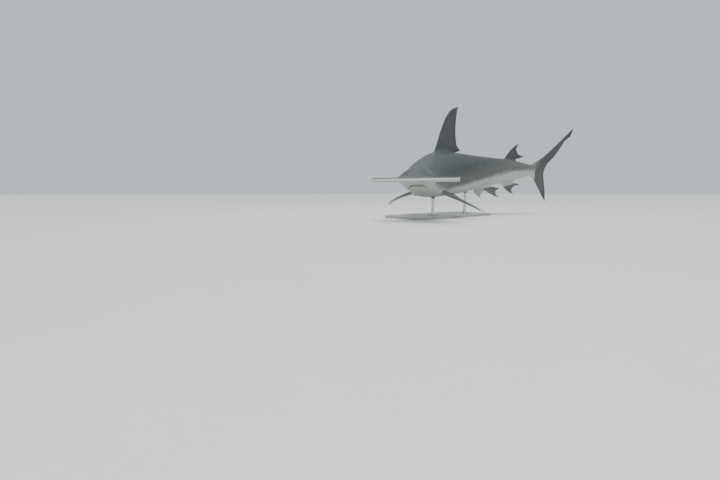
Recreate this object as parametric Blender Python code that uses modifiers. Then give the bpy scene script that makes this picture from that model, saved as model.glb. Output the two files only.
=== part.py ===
"""Great hammerhead shark, a still life-size model on a plain display stand.

The body is laid out straight first, in three measures: the station along the
body from the front of the head, the distance to the animal's left, and the
height over the body's axis. A bend along the spine then turns it into the
swimming pose. All sizes are in metres.
"""

import math

import bmesh
import bpy
import numpy as np
from mathutils import Matrix, Vector

# Driving dimensions of the animal
BODY_LENGTH = 3.21  # from the front of the head to the tip of the upper tail lobe, unbent
NECK_STATION = 0.442
STALK_END = 2.448
HEAD_HEIGHT = -0.068  # the plane of the hammer, under the body's axis
EYE_RADIUS = 0.019
GAP = 0.0003  # what neighbouring solids keep between them
WELD = 0.000001  # points nearer than this are one point

# Driving dimensions of the pose
AXIS_HEIGHT = 0.455  # the body's axis over the floor, at the front of the head
TAIL_RISE = 0.046  # metres of height for each metre towards the tail
HEAD_HEADING = math.radians(-31.0)
TRUNK_TURN = math.radians(59.5)
TAIL_TURN = math.radians(-19.5)
TRUNK_TURN_STATIONS = (0.34, 1.97)
TAIL_TURN_STATIONS = (2.04, 3.23)

# Driving dimensions of the stand
BASE_LENGTH = 1.36
BASE_WIDTH = 0.58
BASE_THICKNESS = 0.024
BASE_STATION = 1.10
ROD_RADIUS = 0.016
ROD_FOOT_RADIUS = 0.055
ROD_FOOT_HEIGHT = 0.018
ROD_STATIONS = {"front": 0.93, "rear": 1.52}
ROD_REACH = 0.06  # how far a rod runs past the belly line before it is trimmed
BASE_CORNER_RADIUS = 0.10

# How finely the solids are divided
AROUND = 40
HEAD_RINGS = 17
TAIL_RINGS = 14
TAIL_SIDE_POINTS = 14
FIN_SIDE_POINTS = 6

# The body's outlines, as (station, size) pairs
BACK_HEIGHT = (
    (0.030, -0.060), (0.100, -0.030), (0.200, -0.002), (0.330, 0.032), (0.442, 0.066),
    (0.578, 0.106), (0.748, 0.165), (0.900, 0.217), (1.120, 0.237), (1.360, 0.229),
    (1.630, 0.198), (1.900, 0.163), (2.110, 0.137), (2.310, 0.092), (2.420, 0.066),
    (2.448, 0.065),
)
BELLY_HEIGHT = (
    (0.030, -0.076), (0.100, -0.094), (0.240, -0.106), (0.262, -0.112), (0.290, -0.138),
    (0.340, -0.168), (0.442, -0.198),
    (0.578, -0.234), (0.748, -0.262), (0.900, -0.270), (1.120, -0.268), (1.360, -0.254),
    (1.630, -0.217), (1.900, -0.170), (2.110, -0.137), (2.310, -0.097), (2.420, -0.072),
    (2.448, -0.071),
)
TRUNK_HALF_WIDTH = (
    (0.442, 0.160), (0.578, 0.186), (0.748, 0.209), (0.900, 0.217), (1.120, 0.215),
    (1.360, 0.198), (1.630, 0.168), (1.900, 0.132), (2.110, 0.100), (2.310, 0.068),
    (2.448, 0.054),
)
WIDEST_HEIGHT = ((0.030, -0.068), (0.240, -0.066), (0.442, -0.048), (0.748, -0.024), (2.448, 0.0))

# The hammer seen from above: its side and rear margin, and its front margin
WING_OUTLINE = (
    (0.048, 0.376), (0.078, 0.400), (0.120, 0.411), (0.165, 0.403), (0.196, 0.376),
    (0.214, 0.322), (0.236, 0.252), (0.300, 0.194), (0.442, 0.160),
)
FRONT_MARGIN = (
    (0.000, 0.027), (0.040, 0.014), (0.130, 0.000), (0.220, 0.004), (0.285, 0.012),
    (0.332, 0.024), (0.376, 0.048),
)
WING_TOP_THICKNESS = ((0.0, 0.024), (0.25, 0.024), (0.55, 0.016), (1.0, 0.016))
WING_UNDER_THICKNESS = ((0.0, 0.020), (0.25, 0.020), (0.55, 0.014), (1.0, 0.014))

CROWN_NARROWNESS = 9.5  # the larger, the narrower the ridge of the skull between the wings

# The tail fin seen from the side, as (station, height) pairs
TAIL_DORSAL_MARGIN = ((2.448, 0.065), (2.60, 0.142), (2.80, 0.274), (3.00, 0.408), (3.21, 0.542))
TAIL_VENTRAL_MARGIN = ((2.448, -0.071), (2.505, -0.140), (2.58, -0.245), (2.655, -0.350), (2.710, -0.420))
TAIL_REAR_MARGIN = (
    (2.710, -0.420), (2.700, -0.300), (2.672, -0.160), (2.655, -0.040), (2.690, 0.042),
    (2.815, 0.150), (2.965, 0.296), (3.060, 0.394), (3.128, 0.412), (3.21, 0.542),
)
FORK_SHARE = -0.24  # where the fork lies between the lower tip, -1, and the upper tip, 1

# The gill slits
GILL_STATIONS = (0.560, 0.606, 0.652, 0.698, 0.742)
GILL_FLAP_LENGTH = 0.034
GILL_FLAP_RISE = 0.006
GILL_SLIT_DEPTH = 0.011
GILL_MIDDLE_HEIGHT = -0.045
GILL_HALF_HEIGHT = 0.098

# The mouth, an arch under the head, with its lower jaw dropped a little
MOUTH_FRONT = 0.262
MOUTH_CORNER_STATION = 0.372
MOUTH_HALF_WIDTH = 0.118
MOUTH_GAPE = 0.022
MOUTH_ARCH_POWER = 2.8  # 2 for a parabola, and more for a mouth that is straighter across
MOUTH_ROOF_HEIGHT = -0.090
JAW_TOP_HEIGHT = -0.127
LIP_RADIUS = 0.007
TEETH_ACROSS = 20
TOOTH_LENGTH = 0.012
TOOTH_RADIUS = 0.0045
NOSTRIL_SIZE = (0.009, 0.027, 0.007)
NOSTRIL_PLACE = (0.022, 0.325, -0.079)
LIP_SINK = 0.002

# The eyes, at the ends of the hammer
EYE_PLACE = (0.118, 0.3980, -0.066)
LID_RADIUS = 0.0035
LID_OUT = 0.006

# Each fin in its own plane: how far back and how far out, from where its front edge leaves the body
FIRST_DORSAL_FRONT = (
    (0.0, 0.0), (0.078, 0.140), (0.160, 0.290), (0.235, 0.410), (0.315, 0.492), (0.436, 0.542),
)
FIRST_DORSAL_INNER = ((0.375, 0.0), (0.500, 0.036))
FIRST_DORSAL_REAR = (
    (0.500, 0.036), (0.442, 0.092), (0.418, 0.190), (0.410, 0.300), (0.416, 0.420), (0.436, 0.542),
)
SECOND_DORSAL_FRONT = ((0.0, 0.0), (0.060, 0.085), (0.125, 0.150), (0.205, 0.195))
SECOND_DORSAL_INNER = ((0.170, 0.0), (0.288, 0.030))
SECOND_DORSAL_REAR = ((0.288, 0.030), (0.195, 0.070), (0.172, 0.120), (0.205, 0.195))
ANAL_FRONT = ((0.0, 0.0), (0.060, 0.068), (0.125, 0.120), (0.190, 0.148))
ANAL_INNER = ((0.185, 0.0), (0.282, 0.036))
ANAL_REAR = ((0.282, 0.036), (0.185, 0.060), (0.163, 0.098), (0.190, 0.148))
PECTORAL_FRONT = ((0.0, 0.0), (0.052, 0.150), (0.115, 0.310), (0.190, 0.440), (0.275, 0.530))
PECTORAL_INNER = ((0.215, 0.0), (0.300, 0.095))
PECTORAL_REAR = ((0.300, 0.095), (0.232, 0.190), (0.215, 0.310), (0.235, 0.435), (0.275, 0.530))
PELVIC_FRONT = ((0.0, 0.0), (0.070, 0.090), (0.140, 0.160), (0.205, 0.200))
PELVIC_INNER = ((0.160, 0.0), (0.265, 0.040))
PELVIC_REAR = ((0.265, 0.040), (0.195, 0.085), (0.178, 0.135), (0.205, 0.200))


class Curve:
    """A smooth line through a few points, whose slopes come from the neighbouring points."""

    def __init__(self, values, knots=None):
        self.values = np.array(values, float).reshape(len(values), -1)
        if knots is None:
            steps = np.linalg.norm(np.diff(self.values, axis=0), axis=1)
            knots = np.concatenate(([0.0], np.cumsum(steps))) / steps.sum()
        self.knots = np.array(knots, float)
        gaps = np.diff(self.knots)[:, None]
        rates = np.diff(self.values, axis=0) / gaps
        inner = (rates[:-1] * gaps[1:] + rates[1:] * gaps[:-1]) / (gaps[1:] + gaps[:-1])
        self.slopes = np.vstack((rates[:1], inner, rates[-1:]))

    def at(self, where):
        """The points at these places along the line, one row each."""
        where = np.clip(np.atleast_1d(where), self.knots[0], self.knots[-1])
        index = np.clip(np.searchsorted(self.knots, where, side="right") - 1, 0, len(self.knots) - 2)
        gap = (self.knots[index + 1] - self.knots[index])[:, None]
        t = (where - self.knots[index])[:, None] / gap
        start, end = self.values[index], self.values[index + 1]
        leave, arrive = self.slopes[index] * gap, self.slopes[index + 1] * gap
        return (
            start * (2 * t**3 - 3 * t**2 + 1)
            + leave * (t**3 - 2 * t**2 + t)
            + end * (3 * t**2 - 2 * t**3)
            + arrive * (t**3 - t**2)
        )


def profile(pairs):
    """A function of one number through (place, value) pairs."""
    line = Curve([value for _, value in pairs], [place for place, _ in pairs])
    return lambda where: line.at(np.ravel(where))[:, 0].reshape(np.shape(where))


def smooth(value, low, high):
    """0 below low, 1 above high, with a soft step between."""
    share = np.clip((value - low) / (high - low), 0.0, 1.0)
    return share * share * (3 - 2 * share)


back_height = profile(BACK_HEIGHT)
belly_height = profile(BELLY_HEIGHT)
trunk_half_width = profile(TRUNK_HALF_WIDTH)
widest_height = profile(WIDEST_HEIGHT)


# The bend

def heading(station):
    """The direction towards the tail, as an angle from +Y towards +X."""
    return (
        HEAD_HEADING
        + TRUNK_TURN * smooth(station, *TRUNK_TURN_STATIONS)
        + TAIL_TURN * smooth(station, *TAIL_TURN_STATIONS)
    )


SPINE_STATIONS = np.linspace(-0.2, BODY_LENGTH + 0.2, 700)
SPINE_STEP = SPINE_STATIONS[1] - SPINE_STATIONS[0]
SPINE_X = np.cumsum(np.sin(heading(SPINE_STATIONS))) * SPINE_STEP
SPINE_Y = np.cumsum(np.cos(heading(SPINE_STATIONS))) * SPINE_STEP


def bent(points):
    """Places given as (station, left, height) rows, in the swimming pose."""
    station, left, height = np.asarray(points, float).reshape(-1, 3).T
    angle = heading(station)
    x = np.interp(station, SPINE_STATIONS, SPINE_X) + left * np.cos(angle)
    y = np.interp(station, SPINE_STATIONS, SPINE_Y) - left * np.sin(angle)
    z = AXIS_HEIGHT + TAIL_RISE * station + height
    return np.stack((x, y, z), axis=1)


# Sections of the body, each as rows of (station, left, height) round a ring

def ring_angles(count=AROUND):
    return np.arange(count) * 2 * math.pi / count


def head_ring(share, angles):
    """A ring over the hammer, from its front margin, share 0, to the neck, share 1."""
    across = np.cos(angles)
    side_station, half_width = Curve(WING_OUTLINE).at(share)[0]
    front = profile(FRONT_MARGIN)
    first_station, first_half_width = WING_OUTLINE[0]
    notch = FRONT_MARGIN[0][1]
    middle = notch + (NECK_STATION - notch) * share
    arch = across**2
    margin = front(np.abs(across) * first_half_width) - notch - (first_station - notch) * arch
    station = middle + (side_station - middle) * arch + margin * (1 - share) ** 3
    left = half_width * across

    nose = math.sqrt(1 - (1 - min(share / 0.12, 1.0)) ** 2)
    squareness = 10 - 7.8 * smooth(share, 0.45, 1.0)
    rim = np.sqrt(np.clip(1 - np.abs(across) ** squareness, 0, None))
    core = np.exp(-((left * CROWN_NARROWNESS * (1 - smooth(share, 0.50, 0.97))) ** 2))
    level = widest_height(np.array([middle]))[0]
    top = back_height(np.array([middle]))[0] - level
    under = level - belly_height(np.array([middle]))[0]
    wing_top = profile(WING_TOP_THICKNESS)(share)
    wing_under = profile(WING_UNDER_THICKNESS)(share)
    eye_lobe = 0.008 * np.exp(-(((np.abs(left) - 0.383) / 0.035) ** 2)) * smooth(share, 0.0, 0.12)
    eye_lobe *= 1 - smooth(share, 0.30, 0.45)
    above = wing_top + (top - wing_top) * core + eye_lobe
    below = wing_under + (under - wing_under) * core + eye_lobe
    height = level + nose * rim * np.where(np.sin(angles) >= 0, above, -below)
    return np.stack((station, left, height), axis=1)


def gill_relief(station, height):
    """How far the skin stands out, or is let in, for the gill flaps and slits."""
    upright = np.clip(1 - ((height - GILL_MIDDLE_HEIGHT) / GILL_HALF_HEIGHT) ** 4, 0, 1)
    relief = np.zeros_like(height)
    for slit in GILL_STATIONS:
        past = station - slit
        flap = np.where((past <= 0) & (past > -GILL_FLAP_LENGTH), 1 + past / GILL_FLAP_LENGTH, 0.0)
        slot = np.where((past > 0) & (past < 0.012), 1 - past / 0.012, 0.0)
        relief += GILL_FLAP_RISE * flap - GILL_SLIT_DEPTH * slot
    return relief * upright


def trunk_ring(station, angles):
    """A ring round the trunk, flatter under the belly than over the back."""
    across = np.cos(angles)
    level = widest_height(np.array([station]))[0]
    above = back_height(np.array([station]))[0] - level
    below = level - belly_height(np.array([station]))[0]
    squareness = np.where(np.sin(angles) >= 0, 2.05, 2.45)
    squareness += (2.2 - squareness) * (1 - smooth(station, NECK_STATION, 0.7))
    rim = np.sqrt(np.clip(1 - np.abs(across) ** squareness, 0, None))
    height = level + rim * np.where(np.sin(angles) >= 0, above, -below)
    width = trunk_half_width(np.array([station]))[0]
    left = width * across
    left = left + np.sign(across) * gill_relief(station, height) * np.abs(across)
    return np.stack((np.full_like(left, station), left, height), axis=1)


def tail_point(share, upright):
    """A place in the tail fin's middle plane: share 0 at the stalk, 1 at the rear margin;
    upright -1 along the lower edge, 1 along the upper edge."""
    stalk_low, stalk_high = TAIL_VENTRAL_MARGIN[0][1], TAIL_DORSAL_MARGIN[0][1]
    stalk = np.stack(
        (np.full_like(upright, STALK_END), stalk_low + (stalk_high - stalk_low) * (upright + 1) / 2),
        axis=1,
    )
    rear = Curve(TAIL_REAR_MARGIN).at((upright + 1) / 2)
    dorsal = Curve(TAIL_DORSAL_MARGIN).at(share)[0]
    ventral = Curve(TAIL_VENTRAL_MARGIN).at(share)[0]
    straight_high = (1 - share) * np.array(TAIL_DORSAL_MARGIN[0]) + share * np.array(TAIL_DORSAL_MARGIN[-1])
    straight_low = (1 - share) * np.array(TAIL_VENTRAL_MARGIN[0]) + share * np.array(TAIL_VENTRAL_MARGIN[-1])
    high = ((1 + upright) / 2)[:, None]
    return (
        (1 - share) * stalk
        + share * rear
        + high * (dorsal - straight_high)
        + (1 - high) * (ventral - straight_low)
    )


def tail_ring(share, uprights, sides):
    """Points on the tail fin's surface, at these heights between its edges, on these sides."""
    station, height = tail_point(share, uprights).T
    stalk_width = TRUNK_HALF_WIDTH[-1][1]
    thickness = 0.0012 + (0.013 - 0.0012) * (1 - share) ** 0.8
    thickness += (stalk_width - 0.013) * (1 - smooth(share, 0.0, 0.42))
    squareness = 2.2 + 6 * smooth(share, 0.0, 0.35)
    rim = np.sqrt(np.clip(1 - np.abs(uprights) ** squareness, 0, None))
    return np.stack((station, sides * thickness * rim, height), axis=1)


# Meshes

def half_marks(count):
    """Marks for the rings of a thin blade that start at one edge, so that both faces split alike."""
    return [step < count / 2 for step in range(count)]


def quarter_marks():
    """Marks for the rings of the body, alike on its left and right and on its top and underside."""
    quarter = AROUND // 4
    return [step // quarter % 2 == 0 for step in range(AROUND)]


def close_across(grid, row):
    """Closes the end of a blade with rungs from face to face; the row starts at its lone edge point."""
    grid.faces.new((row[0], row[1], row[-1]))
    for step in range(1, len(row) // 2):
        grid.faces.new((row[step], row[step + 1], row[-step - 1], row[-step]))


def loft(name, rings, material, marks, closing="flat"):
    """A closed solid through rings of equal size. A mark says which way each step's faces are split.

    closing is flat for two flat ends, rear for a first ring that is already shut, or blade.
    """
    count = len(rings[0])
    grid = bmesh.new()
    rows = [[grid.verts.new(point) for point in bent(ring)] for ring in rings]
    for low, high in zip(rows, rows[1:]):
        for step in range(count):
            after = (step + 1) % count
            if marks[step]:
                grid.faces.new((low[step], low[after], high[after]))
                grid.faces.new((low[step], high[after], high[step]))
            else:
                grid.faces.new((low[step], low[after], high[step]))
                grid.faces.new((low[after], high[after], high[step]))
    if closing == "blade":
        close_across(grid, rows[0])
        close_across(grid, rows[-1])
    else:
        grid.faces.new(rows[-1])
    if closing == "flat":
        grid.faces.new(rows[0])
    bmesh.ops.remove_doubles(grid, verts=grid.verts, dist=WELD)
    bmesh.ops.triangulate(grid, faces=[face for face in grid.faces if len(face.verts) > 3])
    bmesh.ops.recalc_face_normals(grid, faces=grid.faces)
    return mesh_object(name, grid, material)


def mesh_object(name, grid, material):
    mesh = bpy.data.meshes.new(name)
    grid.to_mesh(mesh)
    grid.free()
    made = bpy.data.objects.new(name, mesh)
    mesh.materials.append(material)
    mesh.shade_smooth()
    mesh.set_sharp_from_angle(angle=math.radians(35))
    SHARK.objects.link(made)
    return made


def to_cutters(helper):
    """Moves a helper out of the model: it only cuts."""
    for collection in helper.users_collection:
        collection.objects.unlink(helper)
    CUTTERS.objects.link(helper)
    helper.hide_render = True
    helper.display_type = "WIRE"
    return helper


def combine(target, other, operation, solver="EXACT"):
    """Cuts, joins or meets one object with another, and keeps the result as its mesh."""
    modifier = target.modifiers.new(operation.lower(), "BOOLEAN")
    modifier.operation = operation
    modifier.object = other
    modifier.solver = solver
    bpy.context.view_layer.update()
    evaluated = target.evaluated_get(bpy.context.evaluated_depsgraph_get())
    mesh = bpy.data.meshes.new_from_object(evaluated)
    target.modifiers.clear()
    target.data = mesh
    keep_largest(target)


def keep_largest(target):
    """Keeps the largest closed surface of a mesh and drops the scraps of a cut."""
    grid = bmesh.new()
    grid.from_mesh(target.data)
    bmesh.ops.remove_doubles(grid, verts=grid.verts, dist=WELD)
    left_over = set(grid.faces)
    largest = []
    while left_over:
        seed = left_over.pop()
        shell, waiting = [seed], [seed]
        while waiting:
            face = waiting.pop()
            for edge in face.edges:
                for neighbour in edge.link_faces:
                    if neighbour in left_over:
                        left_over.remove(neighbour)
                        shell.append(neighbour)
                        waiting.append(neighbour)
        if sum(f.calc_area() for f in shell) > sum(f.calc_area() for f in largest):
            largest = shell
    kept = set(largest)
    bmesh.ops.delete(grid, geom=[f for f in grid.faces if f not in kept], context="FACES")
    bmesh.ops.triangulate(grid, faces=grid.faces)
    grid.to_mesh(target.data)
    grid.free()


def finish(name, colour, roughness, metallic=0.0):
    """A plain material: colour, roughness and metallic value of one piece."""
    material = bpy.data.materials.new(name)
    material.use_nodes = True
    shader = material.node_tree.nodes["Principled BSDF"]
    shader.inputs["Base Color"].default_value = (*colour, 1.0)
    shader.inputs["Roughness"].default_value = roughness
    shader.inputs["Metallic"].default_value = metallic
    return material


# Body

def grown(points, by):
    """Rings pushed out along their normals."""
    rings = np.array(points)
    along = np.gradient(rings, axis=0)
    around = (np.roll(rings, -1, axis=1) - np.roll(rings, 1, axis=1)) / 2
    normal = np.cross(around, along)
    normal /= np.linalg.norm(normal, axis=2, keepdims=True) + 1e-12
    centre = rings.mean(axis=1, keepdims=True)
    outward = np.sign(np.sum(normal * (rings - centre), axis=2, keepdims=True))
    return rings + normal * outward * by


def trunk_stations():
    """Where the trunk's rings stand: close together at the gills, wide apart elsewhere."""
    gills = [slit + offset for slit in GILL_STATIONS for offset in (-0.033, -0.001, 0.001, 0.013)]
    before = list(np.linspace(NECK_STATION, GILL_STATIONS[0] - 0.045, 3))
    after = list(np.arange(0.800, STALK_END - 0.03, 0.075))
    return before + sorted(gills) + after


TRUNK_PARTS = (
    ("gill_region", NECK_STATION, 0.790),
    ("torso_front", 0.790, 1.360),
    ("torso_rear", 1.360, 1.980),
    ("tail_stalk", 1.980, STALK_END),
)


def part_stations(low, high):
    ends = (low + GAP / 2, high - GAP / 2)
    inside = [s for s in trunk_stations() if ends[0] + 0.008 < s < ends[1] - 0.008]
    return [ends[0]] + inside + [ends[1]]


def make_trunk(skin):
    angles = ring_angles()
    for name, low, high in TRUNK_PARTS:
        rings = [trunk_ring(station, angles) for station in part_stations(low, high)]
        loft(name, rings, skin, quarter_marks())


def make_body_cutter(skin):
    """The trunk a gap's width larger, which shapes the roots of the fins and the tops of the rods."""
    stations = sorted({s for _, low, high in TRUNK_PARTS for s in part_stations(low, high)})
    rings = grown([trunk_ring(station, ring_angles()) for station in stations], GAP * 1.3)
    return to_cutters(loft("body_cutter", rings, skin, quarter_marks()))


def make_head(skin):
    shares = np.linspace(0, 1, HEAD_RINGS) ** 1.25
    rings = [head_ring(share, ring_angles()) for share in shares[:-1]]
    last = head_ring(1.0, ring_angles())
    last[:, 0] -= GAP / 2
    return loft("head", rings + [last], skin, quarter_marks(), "rear")


def mouth_arch(set_back, turns):
    """The mouth's arch seen from above, as (station, left) pairs."""
    front = MOUTH_FRONT + set_back
    corner = MOUTH_CORNER_STATION
    return [
        (front + (corner - front) * abs(turn) ** MOUTH_ARCH_POWER, MOUTH_HALF_WIDTH * turn) for turn in turns
    ]


def arch_block(name, set_back, sides_in, low, high, rear, material):
    """A block whose front, seen from above, is the mouth's arch."""
    arch = mouth_arch(set_back, np.linspace(-1, 1, 17))
    narrow = 1 - sides_in / MOUTH_HALF_WIDTH
    outline = [(station, left * narrow) for station, left in arch]
    outline += [(rear, outline[-1][1]), (rear, outline[0][1])]
    rings = [np.array([(*place, height) for place in outline]) for height in (low, high)]
    return loft(name, rings, material, half_marks(len(outline)))


def tube(name, points, radius, material):
    """A round tube along a line of places, as a closed mesh."""
    line = bpy.data.curves.new(name, "CURVE")
    line.dimensions = "3D"
    line.bevel_depth = radius
    line.bevel_resolution = 1
    line.use_fill_caps = True
    spline = line.splines.new("POLY")
    spline.points.add(len(points) - 1)
    for knot, place in zip(spline.points, points):
        knot.co = (*place, 1.0)
    guide = bpy.data.objects.new(name, line)
    CUTTERS.objects.link(guide)
    bpy.context.view_layer.update()
    mesh = bpy.data.meshes.new_from_object(guide.evaluated_get(bpy.context.evaluated_depsgraph_get()))
    bpy.data.objects.remove(guide, do_unlink=True)
    grid = bmesh.new()
    grid.from_mesh(mesh)
    bmesh.ops.remove_doubles(grid, verts=grid.verts, dist=WELD * 10)
    bmesh.ops.recalc_face_normals(grid, faces=grid.faces)
    return mesh_object(name, grid, material)


def under_head(head, station, left):
    """The place on the head's underside below a point of its plan."""
    start = Vector(bent([(station, left, -0.5)])[0])
    hit, place, _, _ = head.ray_cast(start, Vector((0, 0, 1)))
    return place if hit else start


def add_lips(head, skin):
    """A low rounded lip along both edges of the mouth."""
    for name, set_back in (("upper", -0.004), ("lower", MOUTH_GAPE + 0.006)):
        bpy.context.view_layer.update()
        arch = mouth_arch(set_back, np.linspace(-0.96, 0.96, 15))
        points = [under_head(head, station, left) + Vector((0, 0, LIP_SINK)) for station, left in arch]
        combine(head, to_cutters(tube(f"{name}_lip", points, LIP_RADIUS, skin)), "UNION")


def tooth_row(name, set_back, narrow, height, lean, material):
    """Cones along the mouth's arch, each turned the way its jaw points."""
    row = bmesh.new()
    places = np.linspace(-0.72, 0.72, TEETH_ACROSS)
    direction = Vector((0, lean[0], lean[1])).normalized()
    for turn, (station, left) in zip(places, mouth_arch(set_back, places)):
        length = TOOTH_LENGTH * (1 - 0.35 * abs(turn))
        cone = bmesh.ops.create_cone(
            row, cap_ends=True, segments=5, radius1=TOOTH_RADIUS, radius2=TOOTH_RADIUS * 0.08, depth=length
        )
        turned = direction.to_track_quat("Z", "Y").to_matrix().to_4x4()
        facing = Matrix.Rotation(-float(heading(station)), 4, "Z")
        place = Vector(bent([(station, left * narrow, height)])[0])
        bmesh.ops.transform(row, matrix=Matrix.Translation(place) @ facing @ turned, verts=cone["verts"])
    return to_cutters(mesh_object(name, row, material))


def make_mouth(head, skin, teeth):
    """Parts the lower jaw from the head, with the mouth a little open, and sets the teeth."""
    add_lips(head, skin)
    below, rear = HEAD_HEIGHT - 0.25, NECK_STATION - 0.012
    jaw = arch_block("lower_jaw", MOUTH_GAPE, GAP, below, JAW_TOP_HEIGHT, rear, skin)
    combine(jaw, head, "INTERSECT")
    pocket = arch_block("jaw_pocket", 0, 0, below, JAW_TOP_HEIGHT + GAP, rear + GAP, skin)
    combine(head, to_cutters(pocket), "DIFFERENCE")
    cavity = arch_block("mouth_cavity", 0, 0.012, below, MOUTH_ROOF_HEIGHT, MOUTH_CORNER_STATION, skin)
    combine(head, to_cutters(cavity), "DIFFERENCE")
    combine(head, tooth_row("upper_teeth", -0.001, 0.97, -0.106, (0.45, -0.9), teeth), "UNION")
    combine(jaw, tooth_row("lower_teeth", MOUTH_GAPE + 0.008, 0.82, -0.124, (-0.15, 1.0), teeth), "UNION")


def placed_ball(name, size, place, station, material):
    """A ball or an egg shape, square to the body at its station."""
    ball = bmesh.new()
    bmesh.ops.create_uvsphere(ball, u_segments=20, v_segments=12, radius=1.0)
    facing = Matrix.Rotation(-float(heading(station)), 4, "Z")
    matrix = Matrix.Translation(place) @ facing @ Matrix.Diagonal((*size, 1.0))
    bmesh.ops.transform(ball, matrix=matrix, verts=ball.verts)
    return mesh_object(name, ball, material)


def add_eyelid(head, place, station, skin):
    """A raised ring of skin round the eyeball."""
    bpy.ops.mesh.primitive_torus_add(
        major_radius=EYE_RADIUS * 0.93, minor_radius=LID_RADIUS, major_segments=20, minor_segments=6,
        location=place, rotation=(0, math.pi / 2, -float(heading(station))),
    )
    lid = bpy.context.object
    lid.name = "eyelid"
    lid.data.materials.append(skin)
    combine(head, to_cutters(lid), "UNION")


def make_eyes(head, skin, glass):
    """An eyeball at each end of the hammer, in a socket with a raised lid round it, and a nostril."""
    station, half_width, height = EYE_PLACE
    for side, sign in (("left", 1), ("right", -1)):
        place = Vector(bent([(station, sign * half_width, height)])[0])
        lid_place = Vector(bent([(station, sign * (half_width + LID_OUT), height)])[0])
        add_eyelid(head, lid_place, station, skin)
        placed_ball(f"eye_{side}", (EYE_RADIUS,) * 3, place, station, glass)
        socket = placed_ball(f"socket_{side}", (EYE_RADIUS + 2 * GAP,) * 3, place, station, skin)
        combine(head, to_cutters(socket), "DIFFERENCE")
        nostril_station, nostril_left, nostril_height = NOSTRIL_PLACE
        place = Vector(bent([(nostril_station, sign * nostril_left, nostril_height)])[0])
        across, along, upright = NOSTRIL_SIZE
        slit = placed_ball(f"nostril_{side}", (along, across, upright), place, nostril_station, skin)
        combine(head, to_cutters(slit), "DIFFERENCE")


# Fins

def fin_rings(front, inner, rear, thickness, depth, sections):
    """Rings of (back, out, thick) in a fin's own plane, from its buried root to its tip."""
    lead = Curve(front)
    inner_line, rear_line = Curve(inner), Curve(rear)
    inner_share = 0.16
    shares = [0.0, 0.06, inner_share] + list(np.linspace(inner_share, 1, sections)[1:] ** 0.9)
    cosines = (1 - np.cos(np.linspace(0, math.pi, FIN_SIDE_POINTS + 1))) / 2
    chordwise = 0.55 * cosines + 0.45 * np.linspace(0, 1, FIN_SIDE_POINTS + 1)
    rings = []
    for share in shares:
        share = min(share, 0.992)
        start = lead.at(share)[0]
        if share <= inner_share:
            end = inner_line.at(share / inner_share)[0]
        else:
            end = rear_line.at((share - inner_share) / (1 - inner_share))[0]
        chord = np.linalg.norm(end - start)
        half = max(thickness * (1 - share) ** 0.75, 0.0015) * min(1.0, chord / 0.06 + 0.3)
        x = chordwise
        swell = 2.969 * np.sqrt(x) - 1.26 * x - 3.516 * x**2 + 2.843 * x**3 - 1.015 * x**4
        thick = np.maximum(half * swell, 0.0008 * (x > 0))
        flat = start + (end - start) * x[:, None]
        upper = np.column_stack((flat, thick))
        lower = np.column_stack((flat, -thick))[:0:-1]
        rings.append(np.vstack((upper, lower)))
    buried = rings[0].copy()
    buried[:, 1] -= depth
    return [buried] + rings


def make_fin(name, rings, place, skin, body):
    """Sets a fin's rings in the body's measures and trims its root to the body."""
    made = loft(name, [place(ring) for ring in rings], skin, half_marks(len(rings[0])), "blade")
    combine(made, body, "DIFFERENCE")
    return made


def upright_fin(station, height, up):
    """Places a fin in the animal's middle plane, standing up or hanging down."""
    def place(ring):
        return np.column_stack((station + ring[:, 0], ring[:, 2], height + up * ring[:, 1]))
    return place


def paired_fin(side, station, left, height, droop, curl):
    """Places a fin at the animal's side, drooping outwards and curling a little towards its tip."""
    def place(ring):
        angle = droop + curl * ring[:, 1]
        out = ring[:, 1] * np.cos(angle) + ring[:, 2] * np.sin(angle)
        down = ring[:, 1] * np.sin(angle) - ring[:, 2] * np.cos(angle)
        return np.column_stack((station + ring[:, 0], side * (left + out), height - down))
    return place


def make_fins(skin, body):
    first = fin_rings(FIRST_DORSAL_FRONT, FIRST_DORSAL_INNER, FIRST_DORSAL_REAR, 0.021, 0.09, 13)
    make_fin("dorsal_fin_first", first, upright_fin(0.922, 0.222, 1), skin, body)
    second = fin_rings(SECOND_DORSAL_FRONT, SECOND_DORSAL_INNER, SECOND_DORSAL_REAR, 0.010, 0.05, 8)
    make_fin("dorsal_fin_second", second, upright_fin(2.040, 0.138, 1), skin, body)
    anal = fin_rings(ANAL_FRONT, ANAL_INNER, ANAL_REAR, 0.009, 0.05, 8)
    make_fin("anal_fin", anal, upright_fin(2.010, -0.148, -1), skin, body)
    pectoral = fin_rings(PECTORAL_FRONT, PECTORAL_INNER, PECTORAL_REAR, 0.022, 0.10, 12)
    pelvic = fin_rings(PELVIC_FRONT, PELVIC_INNER, PELVIC_REAR, 0.010, 0.06, 8)
    for side, sign in (("left", 1), ("right", -1)):
        droop = math.radians(22.6 if side == "left" else 15.6)
        place = paired_fin(sign, 0.700, 0.139, -0.200, droop, 0.14)
        make_fin(f"pectoral_fin_{side}", pectoral, place, skin, body)
        place = paired_fin(sign, 1.670, 0.080, -0.185, math.radians(46), 0.0)
        make_fin(f"pelvic_fin_{side}", pelvic, place, skin, body)


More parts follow.
